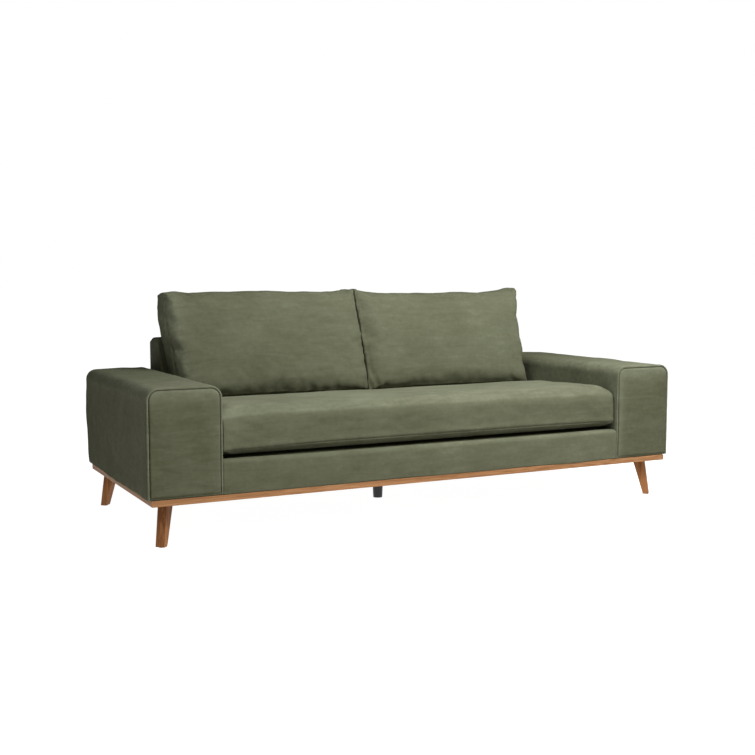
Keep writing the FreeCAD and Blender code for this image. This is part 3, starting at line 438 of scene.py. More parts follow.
def sage_cloth():
    """Nap patches times thread mixture, plus each point's painted light and shade, for colour; weave and
    pile for relief.
    """
    material, tree, shader = new_material(
        "sage_fabric", Roughness=0.95, Specular_IOR_Level=0.05,
        Sheen_Weight=0.03, Sheen_Roughness=0.5, Sheen_Tint=(0.72, 0.76, 0.62, 1),
    )
    where = object_place(tree)
    cloth = add_node(tree, "ShaderNodeUVMap", {"uv_map": "cloth"}).outputs["UV"]
    painted_light = add_node(tree, "ShaderNodeAttribute", {"attribute_name": "painted_light"}).outputs["Fac"]
    clouds = noise(tree, where, 5.5, 4, 0.55, 0.6)
    strokes = noise(tree, stretched(tree, (8, 30, 42), (0.06, 0.04, 0.1)), 1.0, 4, 0.6, 0.9)
    threads = noise(tree, cloth, 900, 2, 0.6)
    flecks = noise(tree, where, 55, 4, 0.65, 0.4)
    tone = -0.20
    for layer, share in ((clouds, 0.40), (strokes, 0.44), (flecks, 0.30), (threads, 0.16)):
        tone = maths(tree, "MULTIPLY_ADD", layer, share, tone)
    # Each point's painted light and shade is added to the tone here, so lit tops come out lighter and
    # shaded sides, seams and feet darker.
    tone = maths(tree, "ADD", tone, painted_light)
    tone = maths(tree, "SUBTRACT", tone, 0.45)
    colour = blend_ramp(
        tree, tone,
        (0.0, (0.036, 0.035, 0.017)), (0.35, (0.061, 0.062, 0.036)),
        (0.65, (0.086, 0.090, 0.057)), (1.0, (0.140, 0.146, 0.098)),
    )
    parts = add_node(tree, "ShaderNodeSeparateXYZ", Vector=cloth).outputs
    pace = 2 * math.pi / THREAD
    warp, weft = (maths(tree, "SINE", maths(tree, "MULTIPLY", parts[way], pace)) for way in "XY")
    weave = maths(tree, "MULTIPLY", warp, weft)
    pile = noise(tree, where, 260, 3, 0.6)
    height = maths(tree, "MULTIPLY_ADD", pile, 1.6, maths(tree, "MULTIPLY", weave, 0.35))
    paint(tree, shader, colour, relief(tree, height, 0.35, 0.5 * MM))
    return material


SAGE = sage_cloth()


def upholster(name, block, painted_light, body, *covered, fill):
    """Write a block as a padded piece in sage cloth and hand it over."""
    return dress(write_piece(name, block, painted_light), body, "sage_fabric", SAGE, *covered, fill=fill)


print("cloth nodes:", len(SAGE.node_tree.nodes))

# %% [markdown]
# Each arm is a box of boards with foam on every side and the cloth pulled over it. The top and sides are
# one wrap, and the front panel is sewn in with a welt, so the rim between them gets a groove on either
# side of the cord. The side tucks in towards its hem at the rear. A drawn cloth also shows slack: slow
# waves everywhere, and soft upright pulls on the outside near the rear.

# %% Arm covers

WELT_RADIUS = 3.9 * MM
WELT_INSET = 3.5 * MM
ARM_RIM, ARM_REAR_RIM = 9 * MM, 7 * MM
ARM_TOP_RADIUS = 42 * MM
OUTER_HEM, INNER_HEM = 6 * MM, 3 * MM
ARM_HEIGHT = 0.38


def arm_cover(word, side):
    """A soft block along Y, swollen a little, drawn in at the outer rear corner, with slack and seams."""
    low, high = span(f"{word}_arm_fabric")
    low[2] = HEM_LEVEL
    hems = (OUTER_HEM, INNER_HEM) if side < 0 else (INNER_HEM, OUTER_HEM)
    corner_radii = (hems[0], ARM_TOP_RADIUS, ARM_TOP_RADIUS, hems[1])
    block = soft_block(low, high, 1, corner_radii, (ARM_RIM, ARM_REAR_RIM), 8 * MM, FIRM_ROWS)
    share = centred(block)
    swell(block, 3.5 * MM)
    points = block.points
    x, y, z = points.T
    outside = ease(share[:, 0] * side, 0.2, 1)
    rise = z - low[2]
    back = ease(y, 0.1, high[1])
    tuck = 5 * MM * np.clip(1 - rise / 0.06, 0, 1) ** 2 + 4 * MM * (1 - ease(rise, 0, 0.34))
    x -= side * tuck * outside * back
    y -= 8 * MM * bump(z - high[2], 0.05) * ease(share[:, 1], 0.9, 1)
    on_top = ease(share[:, 2], 0.6, 1)
    slack = 0.7 * MM * ripple(points, 0.19, 11 + side) + 0.25 * MM * ripple(points, 0.06, 13 + side)
    pulls = ripple(points, 0.09, 15 + side, (1, 1, 0.3)) * 1.0 * MM
    pulls *= outside * back * ease(rise, 0.06, 0.22) * (1 - on_top)
    top_pulls = 0.5 * MM * ripple(points, 0.07, 17 + side, (0.4, 1, 1)) * on_top * back
    away = ease(np.abs(block.near_rim), 4 * MM, 30 * MM)
    press(block, (slack + pulls + top_pulls) * away)
    sewn = ease(z, low[2] + 2 * MM, low[2] + 14 * MM)
    groove = 2.2 * MM * bump(block.near_rim - 5.6 * MM, 1.8 * MM)
    groove += 6.0 * MM * bump(block.near_rim + 6.2 * MM, 2.3 * MM)
    roll = 1.2 * MM * bump(block.near_rim + 15 * MM, 7 * MM)
    roll += 1.2 * MM * bump(block.near_rim - 14 * MM, 7 * MM)
    pucker = 0.35 * MM * ripple(points, 0.016, 19 + side) * bump(block.near_rim, 13 * MM)
    rear_seam = seam_profile(block.far_rim + 9 * MM, 1.6 * MM, 0.5 * MM)
    press(block, (pucker + roll - groove) * sewn + rear_seam * sewn)
    inner = min(abs(low[0]), abs(high[0])) - 0.3 * MM
    x[:] = side * np.maximum(side * x, inner)
    rearward = (1 + share[:, 1]) / 2
    inside = ease(-share[:, 0] * side, 0.6, 1)
    on_side = 1 - on_top
    # Painted light and shade: the top is painted lighter at the front and darker at the rear, the outer
    # side darker towards the rear, the inner side lighter, the front panel darker towards its foot, and the
    # groove beside the welt darker.
    painted_light = PLAIN_PAINTED_LIGHT + on_top * (0.38 - 0.52 * rearward) - outside * on_side * (0.07 + 0.30 * rearward ** 2)
    painted_light += (0.15 + 0.15 * (side > 0)) * inside * on_side
    painted_light += 0.06 * (rise / ARM_HEIGHT - 1.5) * (block.near_rim < 0)
    painted_light -= 0.30 * bump(block.near_rim + 6.4 * MM, 3.2 * MM) * sewn
    parts = (f"{word}_arm_fabric", f"{word}_arm_foam")
    upholster(f"{word}_arm_cover", block, painted_light, "sofa_frame", *parts, fill=0.9)


ARM_SIDES = (("left", -1), ("right", 1))
for word, side in ARM_SIDES:
    arm_cover(word, side)

# %% [markdown]
# A welt is a cord wrapped in a strip of the same cloth and caught in the seam. It could be a bevelled
# curve, but a tube made row by row can carry the small unevenness of a wrapped cord. Its path
# runs up one side of the front panel, over the two rounded corners and down the other side.

# %% Arm welts

TUBE_STEP = 2.5 * MM
TUBE_WRAP = 3 * MM
# The welt is painted lighter than plain cloth all along, as a painted highlight on the cord.
WELT_PAINTED_HIGHLIGHT = 0.74
UPWARD, FORWARD = [0.0, 0.0, 1.0], [0.0, -1.0, 0.0]


def tube(centres, sideways, forward, radius, around=14):
    """A tube round a path: each row is the centre plus radius times (cosine sideways + sine forward)."""
    angle = np.linspace(0, 2 * math.pi, around, endpoint=False)
    ring = np.cos(angle)[None, :, None] * sideways[:, None, :]
    ring = ring + np.sin(angle)[None, :, None] * forward[:, None, :]
    rows = centres[:, None, :] + ring * np.asarray(radius)[:, None, None]
    count = len(centres)
    number = np.arange(count * around).reshape(count, around)
    after = np.roll(number, -1, axis=1)
    quads = np.stack([number[:-1], after[:-1], after[1:], number[1:]], axis=-1).reshape(-1, 4)
    uv_u = np.arange(count)[:, None] * TUBE_STEP + np.zeros(around)
    uv_v = np.zeros(count)[:, None] + angle * TUBE_WRAP
    uv = np.stack([uv_u.ravel(), uv_v.ravel()], axis=1)[quads]
    return SimpleNamespace(points=rows.reshape(-1, 3), quads=quads, uv=uv, rings=number)


def rounded_arch(left, right, foot, top, radius, step):
    """Evenly spaced places and their outward directions along an arch.

    The way goes up by the rise, round a quarter turn, across by the run, round again and down. Each
    stretch adds its own share of the distance s to the place across and the place up.
    """
    rise, run, bend = top - radius - foot, right - left - 2 * radius, radius * math.pi / 2
    total = 2 * rise + 2 * bend + run
    s = np.linspace(0, total, int(total / step) + 1)
    edges = np.cumsum([rise, bend, run, bend])
    t1 = np.clip((s - edges[0]) / bend, 0, 1) * math.pi / 2
    t2 = np.clip((s - edges[2]) / bend, 0, 1) * math.pi / 2
    across = left + radius * (1 - np.cos(t1)) + np.clip(s - edges[1], 0, run) + radius * np.sin(t2)
    up = foot + np.clip(s, 0, rise) + radius * np.sin(t1)
    up = up - radius * (1 - np.cos(t2)) - np.clip(s - edges[3], 0, rise)
    outward = np.stack([-np.cos(t1) + np.sin(t2), np.sin(t1) * np.cos(t2)], axis=1)
    later = s > edges[2]
    outward[later] = np.stack([np.sin(t2), np.cos(t2)], axis=1)[later]
    return across, up, outward / np.linalg.norm(outward, axis=1, keepdims=True)


def arm_welt(word, side):
    """The welt's tube, with a radius that wavers by a tenth of a millimetre or two."""
    low, high = span(f"{word}_arm_fabric")
    across, up, outward = rounded_arch(
        low[0] + WELT_INSET, high[0] - WELT_INSET, HEM_LEVEL + 1 * MM, high[2] - WELT_INSET,
        ARM_TOP_RADIUS - WELT_INSET, TUBE_STEP,
    )
    centres = np.stack([across, np.full_like(across, low[1] + WELT_INSET), up], axis=1)
    sideways = np.stack([outward[:, 0], np.zeros_like(across), outward[:, 1]], axis=1)
    forward = np.tile(FORWARD, (len(centres), 1))
    radius = WELT_RADIUS + 0.12 * MM * ripple(centres, 0.02, 23 + side)
    radius[[0, -1]] = 0.2 * MM
    radius[[1, -2]] *= 0.8
    block = tube(centres, sideways, forward, radius)
    ends = [block.rings[0][::-1], block.rings[-1]]
    welt = write_piece(f"{word}_arm_welt", block, np.full(len(block.points), WELT_PAINTED_HIGHLIGHT))
    close_ends(welt, ends)
    dress(welt, "sofa_frame", "sage_fabric", SAGE, f"{word}_arm_piping")


def close_ends(piece, ends):
    """Fill each open end of a tube with one face, and turn all faces outwards."""
    work = bmesh.new()
    work.from_mesh(piece.data)
    work.verts.ensure_lookup_table()
    for end in ends:
        work.faces.new([work.verts[i] for i in end])
    bmesh.ops.recalc_face_normals(work, faces=work.faces)
    work.to_mesh(piece.data)
    work.free()
    piece.data.shade_smooth()


for word, side in ARM_SIDES:
    arm_welt(word, side)

# %% [markdown]
# The front rail is a padded bar between the arms. It is stiff, so it is only slightly crowned, and its
# top front edge is rounded and worn a little lower, so that a dark gap is left under the bench. Its ends
# butt against the arms, and the small rim there reads as a thin dark line. The deck behind it is a flat
# padded sheet over the springs, which shows when the bench is lifted. It dips behind the rail.

# %% Front rail and deck

RAIL_RADII = (4 * MM, 5 * MM, 5 * MM, 16 * MM)
RAIL_RIMS = (3.5 * MM, 3.5 * MM)
RAIL_DROP = 11 * MM
DECK_DROP = 10 * MM


def front_rail_cover():
    """A soft block along X whose top is lower by the drop, and by two thirds of it at the ends."""
    low, high = span("front_rail_fabric")
    low[2] = HEM_LEVEL
    block = soft_block(low, high, 0, RAIL_RADII, RAIL_RIMS, 9 * MM, FIRM_ROWS)
    swell(block, 2.5 * MM)
    points = block.points
    x, y, z = points.T
    edge_drop = RAIL_DROP * ease(z, low[2] + 0.07, high[2])
    z -= edge_drop * (1 - 0.35 * ease(np.abs(x), 0.45, high[0]))
    front = ease(low[1] + 0.02 - y, 0, 0.02)
    slack = 0.8 * MM * ripple(points, 0.13, 31, (0.5, 1, 1)) * front
    creases = 0.5 * MM * ripple(points, 0.03, 33, (1, 0.3, 0.25))
    creases *= bump(z - high[2] + 12 * MM, 22 * MM) * front
    away = ease(np.minimum(block.near_rim, block.far_rim), 2 * MM, 20 * MM)
    press(block, (slack + creases) * away)
    # Painted light: the rail is painted lighter towards the right, and lighter still in a narrow band along
    # its top front edge as a painted highlight.
    painted_light = 0.56 + 0.08 * centred(block)[:, 0] + 0.12 * bump(z - high[2] + RAIL_DROP, 7 * MM)
    parts = ("front_rail_fabric", "front_rail_foam")
    upholster("front_rail_cover", block, painted_light, "sofa_frame", *parts, fill=0.9)


def deck_cover():
    """A thin soft block along Z, slightly uneven on top, with its front edge lower by the drop."""
    low = span("deck_foam")[0]
    high = span("deck_fabric")[1]
    block = soft_block(low, high, 2, (6 * MM,) * 4, (2 * MM, 5 * MM), 14 * MM, FIRM_ROWS[::3])
    points = block.points
    x, y, z = points.T
    top = block.far_rim < 0
    share = centred(block)
    waves = 0.5 * MM * ripple(points, 0.11, 35, (1, 1, 0))
    z += np.where(top, (waves - 0.6 * MM) * (1 - share[:, 0] ** 8) * (1 - share[:, 1] ** 8), 0)
    front_edge = ease(y, low[1] + 0.06, low[1] + 0.01)
    z -= DECK_DROP * front_edge * ease(z, low[2], high[2])
    # Painted shade: the deck is painted darker along its front edge, where it dips behind the rail.
    painted_light = 0.45 - 0.35 * front_edge
    upholster("deck_cover", block, painted_light, "sofa_frame", "deck_fabric", "deck_foam", fill=0.7)


front_rail_cover()
deck_cover()

# %% [markdown]
# The back is a padded frame between the arms. Seen from the side, its front slopes and its rear
# is upright, so a block is made first and its front face is then sheared onto the slope. Below the
# deck only a thin skin goes on down to the hem. A welted line runs round the outside back,
# where the rear panel is closed last.

# %% Back cover

BACK_SKIN_DEPTH = 4 * MM
BACK_RADII = (2.5 * MM, 2.5 * MM, 22 * MM, 24 * MM)
# The back cover's level of painted light and shade: a little darker than plain, the same all over.
BACK_PAINTED_LIGHT = 0.48
REAR_SEAM_INSET = 26 * MM


def back_cover():
    """A soft block along X whose depth, at each height, runs from the slope to the upright rear."""
    low, high = np.array([BACK_LOW[0], BACK_LOW[1], HEM_LEVEL]), BACK_HIGH
    depth_low = np.array([low[0], SOFA_REAR - BACK_TOP_DEPTH, low[2]])
    block = soft_block(depth_low, high, 0, BACK_RADII, (5 * MM, 5 * MM), 10 * MM, FIRM_ROWS)
    share = centred(block)
    swell(block, 3 * MM)
    points = block.points
    x, y, z = points.T
    shown = ease(z, DECK_LEVEL - 0.022, DECK_LEVEL - 0.012)
    wanted = shown * inside_back(z) + (1 - shown) * (SOFA_REAR - BACK_SKIN_DEPTH)
    stretch = (SOFA_REAR - wanted) / BACK_TOP_DEPTH
    y[:] = SOFA_REAR - (SOFA_REAR - y) * stretch
    rear = ease(share[:, 1], 0.5, 1)
    near_end = ease(np.abs(x), high[0] - 16 * MM, high[0])
    z -= 11 * MM * near_end ** 2 * ease(z, high[2] - 24 * MM, high[2])
    slack = 0.9 * MM * ripple(points, 0.2, 41) + 0.4 * MM * ripple(points, 0.07, 43)
    slack = np.where(rear > 0, np.abs(slack), slack)
    press(block, slack * shown * ease(nearest_rim(block), 0, 20 * MM))
    from_edge = np.minimum(high[2] - z, np.minimum(x - low[0], high[0] - x))
    rear_seam = seam_profile(from_edge - REAR_SEAM_INSET, 1.1 * MM, 0.7 * MM) + 0.4 * MM
    press(block, rear_seam * ease(share[:, 1], 0.93, 0.99))
    painted_light = np.full(len(points), BACK_PAINTED_LIGHT)
    upholster("back_cover", block, painted_light, "sofa_frame", "back_fabric", "back_foam", fill=0.9)


back_cover()

# %% [markdown]
# A cushion is a cloth bag with something springy inside. Blowing the bag up with a cloth simulation
# gives what no formula does: the cloth pulls in between the corners, stands proud at them, and
# wrinkles where it has more length than room. The bag starts a little smaller than the cushion, its
# cloth is cut a little too large, and a limit on each point's travel keeps it within its place.

# %% Blowing up a cover

SIMULATION_FRAMES = 20


def read_points(mesh):
    """A mesh's points as an array."""
    flat = np.empty(3 * len(mesh.vertices), np.float32)
    mesh.vertices.foreach_get("co", flat)
    return flat.reshape(-1, 3).astype(float)


def discard(piece):
    """Remove a helper piece and its mesh."""
    mesh = piece.data
    bpy.data.objects.remove(piece)
    bpy.data.meshes.remove(mesh)


def blow_up(block, pressure, spare, limit, stiffness, bending):
    """Simulate the block's skin as a closed cloth bag and return where its points went.

    A point's travel is shortened smoothly: its length L becomes limit times tanh(L / limit).
    """
    piece = write_piece("bag", block)
    cloth = piece.modifiers.new("Cloth", "CLOTH")
    settings = cloth.settings
    settings.quality = 5
    settings.mass = 0.3
    settings.tension_stiffness = stiffness
    settings.compression_stiffness = stiffness
    settings.shear_stiffness = stiffness / 3
    settings.bending_stiffness = bending
    settings.shrink_min = -spare
    settings.use_pressure = True
    settings.uniform_pressure_force = pressure
    settings.effector_weights.gravity = 0
    cloth.collision_settings.use_collision = False
    cloth.point_cache.frame_start = 1
    cloth.point_cache.frame_end = SIMULATION_FRAMES
    for number in range(1, SIMULATION_FRAMES + 1):
        scene.frame_set(number)
    result = piece.evaluated_get(bpy.context.evaluated_depsgraph_get())
    moved = read_points(result.data)
    scene.frame_set(1)
    discard(piece)
    travel = moved - block.points
    length = np.linalg.norm(travel, axis=1, keepdims=True) + 1e-12
    print(f"  travelled {np.median(length) / MM:.1f} mm as a median, {length.max() / MM:.1f} mm at most")
    return block.points + travel * limit * np.tanh(length / limit) / length


def refine(block, keep):
    """Split every face in four and smooth it once, carrying the kept measures of each point along."""
    piece = write_piece("fine", block)
    for word in keep:
        values = np.asarray(getattr(block, word), np.float32)
        piece.data.attributes.new(word, "FLOAT", "POINT").data.foreach_set("value", values)
    finer = piece.modifiers.new("Subdivision", "SUBSURF")
    finer.levels = finer.render_levels = 1
    finer.boundary_smooth = "PRESERVE_CORNERS"
    result = piece.evaluated_get(bpy.context.evaluated_depsgraph_get()).data
    count = len(result.polygons)
    quads = np.empty(4 * count, np.int32)
    result.loops.foreach_get("vertex_index", quads)
    uv = np.empty(8 * count, np.float32)
    result.uv_layers["cloth"].data.foreach_get("uv", uv)
    points = read_points(result)
    fine = SimpleNamespace(points=points, quads=quads.reshape(-1, 4), uv=uv.reshape(-1, 4, 2))
    for word in keep:
        values = np.empty(len(fine.points), np.float32)
        result.attributes[word].data.foreach_get("value", values)
        setattr(fine, word, values.astype(float))
    discard(piece)
    return fine


print("bags are blown up over", SIMULATION_FRAMES, "frames")


# %% [markdown]
# The bench cushion is one long foam slab in a boxed cover. Its top rolls over the front like a waterfall
# and ends in a seam low on the front, above a narrow band that curls under. The top is fullest near the
# front and falls a little towards the back cushions, which press on it. Its ends are soft, so a dark
# triangle is left beside each arm.

# %% Bench cushion

BENCH_RADII = (20 * MM, 16 * MM, 18 * MM, 46 * MM)
BENCH_CREST, BENCH_END_DIP = 9 * MM, 9 * MM
BENCH_LIFT, BENCH_END_LIFT = 6 * MM, 14 * MM
BENCH_OVERREACH = 5.5 * MM
CREASE_SHEAR = np.array([[0.55, 0, 0.5], [0, 1, 0], [0.8, 0, 1.4]])
MEASURES = ("side_x", "side_y", "side_z", "near_rim", "far_rim")


def bench_cushion():
    """A soft block along X with a falling top, soft ends and a low front that curls under.

    Under the front seam the cloth steps back by 2.5 mm and curls back by 2.5 mm more. The underside is
    lifted off the rail there, most at the ends, so that a dark gap shows. Rows near the seam are drawn
    towards it, by 0.7 of their distance times a hump, so that it is crisp.
    """
    low, high = span("seat_cushion_fabric")
    start_low = low + np.array([2, 8, 3]) * MM
    start_high = high - np.array([2, 8, 8]) * MM
    block = soft_block(start_low, start_high, 0, BENCH_RADII, (10 * MM, 10 * MM), 11 * MM, SOFT_ROWS)
    block.side_x, block.side_y, block.side_z = centred(block).T
    sewn = block.points.copy()
    block.points = blow_up(block, 3.0, 0.012, 14 * MM, 18, 1.0)
    held = ease(np.abs(block.side_x), 0.93, 0.99)[:, None] * np.array([1, 0.9, 0])
    block.points += (sewn - block.points) * held
    block = refine(block, MEASURES)
    points = block.points
    x, y, z = points.T
    reach = high[0] + BENCH_OVERREACH
    x *= reach / np.abs(x).max()
    share_up = np.clip((z - low[2]) / (start_high[2] - low[2]), 0, 1.2)
    crest = BENCH_CREST * ease(y, 0.0, -0.30) + 1 * MM
    ends = ease(np.abs(x), reach - 0.10, reach + 0.006)
    z += share_up * (crest - BENCH_END_DIP * ends ** 2)
    front = ease(y, low[1] + 0.10, low[1] + 0.03)
    top = ease(block.side_z, 0.6, 1.0)
    rear_room = ease(y, -0.02, 0.10)
    rest = low[2] + 0.4 * MM
    lift = BENCH_LIFT + BENCH_END_LIFT * ease(np.abs(x), reach - 0.055, reach)
    lifted = rest + lift * ease(y, low[1] + 0.07, low[1] + 0.014)
    long_waves = 1.0 * MM * ripple(points, 0.14, 51, (0.45, 1, 1))
    small_waves = 0.4 * MM * ripple(points, 0.05, 53, (0.6, 1, 1)) * (0.4 + 0.6 * front)
    left_front = ease(x, -0.55, -0.80) * front
    creases = 1.0 * MM * ripple(points @ CREASE_SHEAR, 0.07, 59) * left_front
    above = np.where(z > rest + 4 * MM, 1, 0)
    press(block, (long_waves + small_waves + creases) * above * (1 - rear_room))
    seam_level = 28 - 3 * ease(np.abs(x), 0.45, high[0]) - 4 * ease(x, -0.2, -0.8)
    seam_height = low[2] + seam_level * MM
    in_front = ease(y, low[1] + 0.06, low[1] + 0.03)
    above_seam = z - seam_height
    z -= 0.7 * in_front * above_seam * bump(above_seam, 15 * MM)
    above_seam = z - seam_height
    below = np.clip(-above_seam / (seam_height - low[2] - 6 * MM), 0, 1)
    y += (2.5 + 2.5 * below) * MM * below ** 0.5 * ease(y, low[1] + 0.06, low[1] + 0.02)
    low_seam = seam_profile(above_seam, 3.4 * MM, 0.6 * MM) + 1.8 * MM * bump(above_seam - 9 * MM, 8 * MM)
    pucker = 0.5 * MM * ripple(points, 0.02, 55, (1, 0.3, 0.3)) * bump(z - seam_height, 12 * MM)
    rim = np.where(x < 0, block.near_rim, block.far_rim)
    end_seam = seam_profile(rim, 2.0 * MM, 0.8 * MM)
    end_pucker = 0.5 * MM * ripple(points, 0.02, 57, (0.3, 1, 1)) * bump(rim, 12 * MM)
    press(block, low_seam * in_front + pucker * in_front + end_seam + end_pucker)
    z[:] = np.maximum(z, lifted)
    ceiling = SEAT_LEVEL - 0.5 * MM
    z -= np.maximum(z - ceiling, 0) * rear_room
    x[:] = np.clip(x, -reach - 0.5 * MM, reach + 0.5 * MM)
    leftward = ease(x, 0.3, -0.8)
    # Painted light and shade: the top is painted lighter, more so to the left and less near the front, and
    # the band below the front seam is painted darker where it curls under.
    painted_light = PLAIN_PAINTED_LIGHT + (0.34 + 0.06 * leftward) * top * (1 - 0.3 * front)
    painted_light += 0.02 * in_front
    painted_light -= 0.10 * in_front * ease(below, 0, 0.2)
    parts = ("seat_cushion_fabric", "seat_cushion_foam")
    upholster("bench_cushion", block, painted_light, "seat_cushion", *parts, fill=0.8)
    return block


bench = bench_cushion()

# %% [markdown]
# A back cushion is a boxed cover round a soft filling. It stands on the bench and leans as the inside
# back does, so it is made upright and then sheared. The filling settles: the lower half is fuller, its
# foot rolls under, the cloth gathers in short upright puckers along the bottom, the upper corners stand
# up as small ears, and the inner bottom corner crumples where the two cushions press together. No two
# cushions settle alike, so each has its own allowances.

# %% Back cushions

CUSHION_FOOT_DEPTH = 0.135
HEAD_OVERHANG = 0.024
FOOT_ROLL = 13 * MM
MEETING_GAP = 0.2 * MM
DRAG_TURN = np.array([[1, 0, 0.5], [0, 1, 0], [-0.5, 0, 0.5]])
ALLOWANCES = {
    "left": SimpleNamespace(
        top=4 * MM, foot=6 * MM, belly=18 * MM, rounding=18 * MM,
        ear=-10 * MM, sag=-5 * MM, pucker=1.3 * MM,
    ),
    "right": SimpleNamespace(
        top=15 * MM, foot=-16 * MM, belly=0.0, rounding=14 * MM,
        ear=6 * MM, sag=12 * MM, pucker=0.35 * MM,
    ),
}


def back_cushion(word, side):
    """A soft block through its depth, leaned by moving each point back by its height times tan(lean).

    Its inner side stays flat, because the two cushions press on each other there; its outer side
    stands where the cushion's own top and foot allowances put it, a straight line between them.
    """
    own = ALLOWANCES[word]
    low, high = span(f"back_cushion_{word}_fabric")
    foot_front = inside_back(SEAT_LEVEL) - CUSHION_FOOT_DEPTH
    foot_rear = inside_back(SEAT_LEVEL) - 0.5 * MM
    start_low = np.array([low[0] + 3 * MM, foot_front + 15 * MM, low[2] + 1 * MM])
    start_high = np.array([high[0] - 3 * MM, foot_rear - 6 * MM, high[2] - 8 * MM])
    block = soft_block(start_low, start_high, 1, (15 * MM,) * 4, (11 * MM, 14 * MM), 10 * MM, SOFT_ROWS)
    block.side_x, block.side_y, block.side_z = centred(block).T
    block.inner = block.side_x * -side
    block.start_x = start_low[0] + block.flat[:, 0] - side * 3.4 * MM * ease(block.side_y, -0.7, 0.2)
    swell(block, 12 * MM)
    press(block, 0.8 * MM * ripple(block.points, 0.12, 61 + side))
    block.points = blow_up(block, 3.4, 0.022, 20 * MM, 12, 0.5)
    block = refine(block, (*MEASURES, "inner", "start_x"))
    points = block.points
    x, y, z = points.T
    tall = high[2] - low[2]
    z[:] = low[2] + (z - low[2]) * (tall - 3 * MM) / (z.max() - low[2])
    height = z - low[2]
    height = height * (1 - 0.62 * (1 - ease(height, 0, 0.07)))
    z[:] = low[2] + height
    rise = np.clip(height / tall, 0, 1)
    flat_side = ease(block.inner, 0.80, 1.0)
    x += (block.start_x - x) * flat_side
    outer = np.clip(-block.inner, 0, 1)
    middle = (low[0] + high[0]) / 2
    half = (high[0] - low[0]) / 2
    outer_now = np.abs(x - middle).max() - half
    wanted = own.foot + (own.top - own.foot) * rise - outer_now
    wanted += own.belly * bump(rise - 0.70, 0.24)
    x += side * outer ** 3 * wanted
    x -= side * 4 * MM * block.inner.clip(0, 1) ** 8 * bump(rise - 0.02, 0.08)
    across = (x - middle) / half
    ears = 7 * MM * ease(block.inner, 0.93, 1.0) + own.ear * ease(outer, 0.86, 1.0)
    ears *= ease(rise, 0.85, 1.0)
    dips = 1.6 * MM * ripple(points, 0.24, 60 + side, (1, 0, 0)) * ease(rise, 0.8, 1.0)
    z += ears - (own.sag * (1 - across ** 2) - dips) * ease(rise, 0.6, 1.0)
    front = ease(block.side_y, 0.3, -0.6)
    y -= 10 * MM * front * np.sin(math.pi * rise ** 0.8) * (1 - outer ** 4)
    turning = np.clip((outer - 0.86) / 0.14, 0, 1)
    y += own.rounding * (1 - np.sqrt(1 - 0.98 * turning ** 2)) * ease(block.side_y, 0.6, -0.9)
    y += FOOT_ROLL * np.clip(1 - height / 0.09, 0, 1) ** 2 * ease(block.side_y, 0.4, -0.9)
    y += height * math.tan(LEAN)
    near_foot = bump(height - 10 * MM, 38 * MM) * front
    puckers = own.pucker * ripple(points, 0.034, 65 + side, (1, 0.2, 0.24)) * near_foot
    drags = 0.6 * own.pucker * ripple(points @ DRAG_TURN, 0.06, 77) * front
    drags *= bump(height - 40 * MM, 60 * MM)
    corner = bump(block.inner - 1.0, 0.11) * bump(rise, 0.15) * front
    crumple = 5.0 * MM * ripple(points, 0.040, 67 + side, (1, 0.5, 0.8)) * corner
    folds = 0.8 * MM * ripple(points, 0.14, 69 + side, (0.8, 1, 1)) * front
    small = 0.35 * MM * ripple(points, 0.045, 71 + side)
    rim_pucker = 0.7 * MM * ripple(points, 0.022, 73 + side) * bump(nearest_rim(block), 14 * MM)
    rim_pucker *= 0.25 + 0.75 * ease(rise, 0.1, 0.4)
    press(block, puckers + drags + crumple + folds + small + rim_pucker)
    plain = np.maximum(ease(block.inner, 0.90, 0.97), (side < 0) * ease(outer, 0.75, 0.95))
    front_seam = seam_profile(block.near_rim, 2.4 * MM, 1.2 * MM) * (1 - 0.85 * plain)
    rear_seam = seam_profile(block.far_rim, 2.2 * MM, 1.0 * MM)
    press(block, front_seam + rear_seam)
    stop = inside_back(z) - 0.5 * MM
    free = ease(z, BACK_HIGH[2] - 0.01, BACK_HIGH[2] + 0.05)
    y[:] = np.minimum(y, stop + free * HEAD_OVERHANG)
    z[:] = np.maximum(z, low[2] + 0.3 * MM)
    x[:] = side * np.maximum(side * x, MEETING_GAP)
    # Painted light and shade: the front is painted a little lighter, the foot darker as painted shade, the
    # right cushion a shade lighter, and the left cushion's outer front edge lighter as painted light.
    painted_light = PLAIN_PAINTED_LIGHT + 0.06 * front - 0.18 * near_foot + 0.02 * (side > 0)
    painted_light += 0.24 * bump(outer - 0.93, 0.07) * front * (side < 0)
    name = f"back_cushion_{word}"
    upholster(name, block, painted_light, name, f"{name}_fabric", f"{name}_filling", fill=0.7)
    return block


back_blocks = {word: back_cushion(word, side) for word, side in ARM_SIDES}

# %% [markdown]
# Each cover closes with a long zip, behind the bench and under each back cushion, where it isn't seen.
# A zip follows whatever the cloth does, so its strip looks up the cover's nearest points and lies on
# them. Two tapes lie flat and the coil between them stands a little higher.

# %% Zips

ZIP_ROWS = 161
ZIP_PROFILE = np.array([-0.5, -0.46, -0.2, -0.12, 0, 0.12, 0.2, 0.46, 0.5])
ZIP_PROUD = np.array([0, 0.5, 0.6, 1.5, 1.9, 1.5, 0.6, 0.5, 0]) * MM
ZIP_MARGIN, ZIP_REACH, ZIP_BACKING = 8 * MM, 0.04, 0.4 * MM


